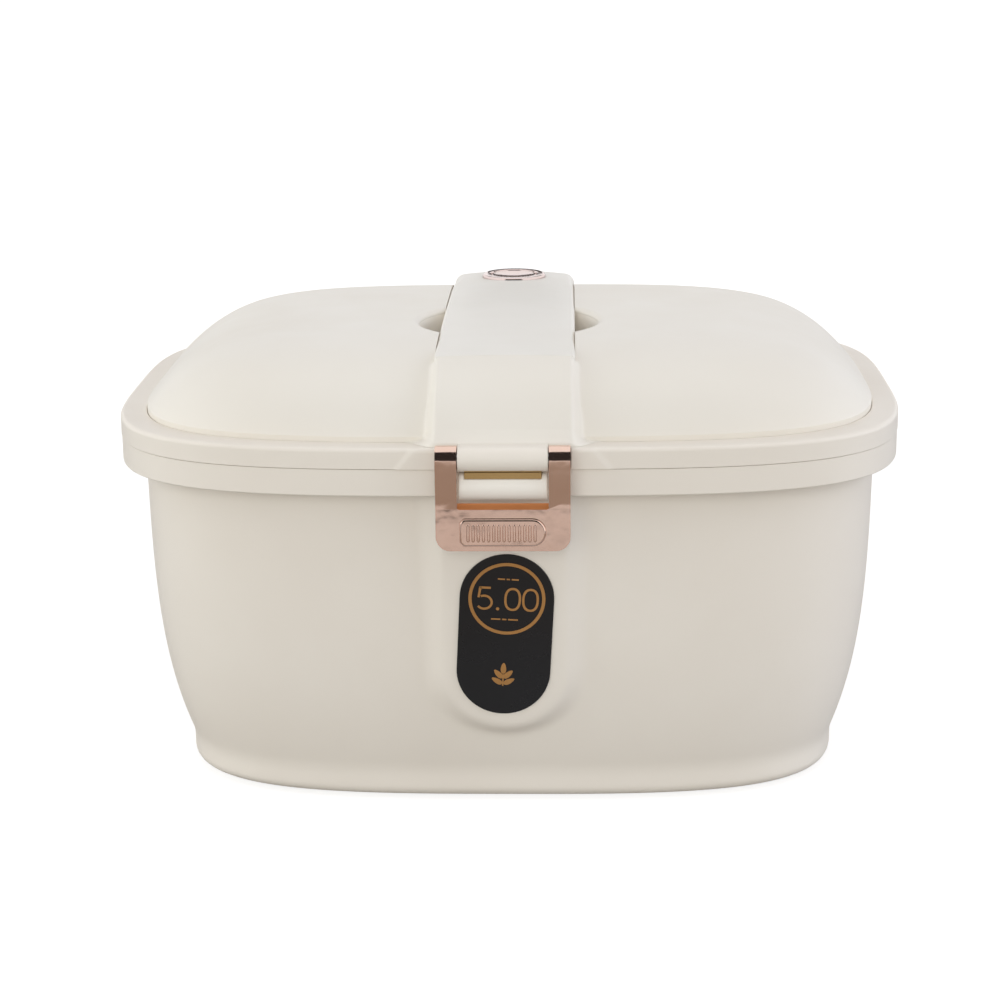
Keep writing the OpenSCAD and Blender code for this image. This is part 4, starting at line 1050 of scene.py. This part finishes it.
# %% World and suns
world = bpy.data.worlds.new("studio")
bpy.context.scene.world = world
world.use_nodes = True
t = world.node_tree
t.nodes.clear()
path = t.nodes.new("ShaderNodeLightPath")
seen, also = (add_node(t, "ShaderNodeMath", {"operation": "MAXIMUM"}) for _ in range(2))
plain = add_node(t, "ShaderNodeBackground", Color=(0.97, 0.965, 1, 1), Strength=0.66)
white = add_node(t, "ShaderNodeBackground", Color=(1, 1, 1, 1), Strength=1.0)
pick = t.nodes.new("ShaderNodeMixShader")
out = t.nodes.new("ShaderNodeOutputWorld")
wire(t, (path, "Is Camera Ray", seen, 0), (path, "Is Glossy Ray", seen, 1), (seen, 0, also, 0),
     (path, "Is Transmission Ray", also, 1), (also, 0, pick, 0), (plain, 0, pick, 1), (white, 0, pick, 2),
     (pick, 0, out, "Surface"))


SUN_RISE = 8


def soft_sun(name, turn, brightness, wide, colour):
    """Light from turn degrees left of the front, SUN_RISE up, spread over wide degrees. A white
    sheet that faces it renders at that brightness."""
    lamp = bpy.data.lights.new(name, "SUN")
    lamp.energy, lamp.angle, lamp.color = brightness * pi, radians(wide), colour
    a, b = radians(turn), radians(SUN_RISE)
    towards = Vector((-sin(a) * cos(b), -cos(a) * cos(b), sin(b)))
    obj = bpy.data.objects.new(name, lamp)
    obj.rotation_euler = towards.to_track_quat("Z", "Y").to_euler()
    obj.visible_glossy = False
    bpy.context.scene.collection.objects.link(obj)


soft_sun("front_fill", 12, 0.36, 50, (0.97, 1.0, 0.95))
soft_sun("left_fill", 92, 0.46, 60, (0.9, 0.965, 1.0))
soft_sun("right_fill", -92, 0.61, 60, (0.8, 0.87, 1.0))

# %% Camera
EYE = np.array([23.92, -947.85, 344.33])
YAW, PITCH, ROLL = 0.0365256, 0.2582671, -0.0117353
SENSOR, PICTURE, FOCAL, SHIFT = 36.0, 1000, 2414.3, 14.883
fwd = np.array([-sin(YAW) * cos(PITCH), cos(YAW) * cos(PITCH), -sin(PITCH)])
right = np.array([cos(YAW), sin(YAW), 0])
up = np.cross(right, fwd)
right, up = (right * cos(ROLL) + up * sin(ROLL), up * cos(ROLL) - right * sin(ROLL))
cam = bpy.data.cameras.new("camera")
cam.sensor_width, cam.lens, cam.shift_x = SENSOR, FOCAL * SENSOR / PICTURE, SHIFT / PICTURE
cam.clip_start, cam.clip_end = 0.05, 60
cam_obj = bpy.data.objects.new("camera", cam)
cam_obj.matrix_world = Matrix(np.block([[np.stack([right, up, -fwd], 1), (EYE * MM)[:, None]],
                                        [np.zeros((1, 3)), np.ones((1, 1))]]).tolist())
bpy.context.scene.collection.objects.link(cam_obj)
bpy.context.scene.camera = cam_obj
bpy.context.scene.view_settings.view_transform = "Standard"
print("lens", cam.lens)
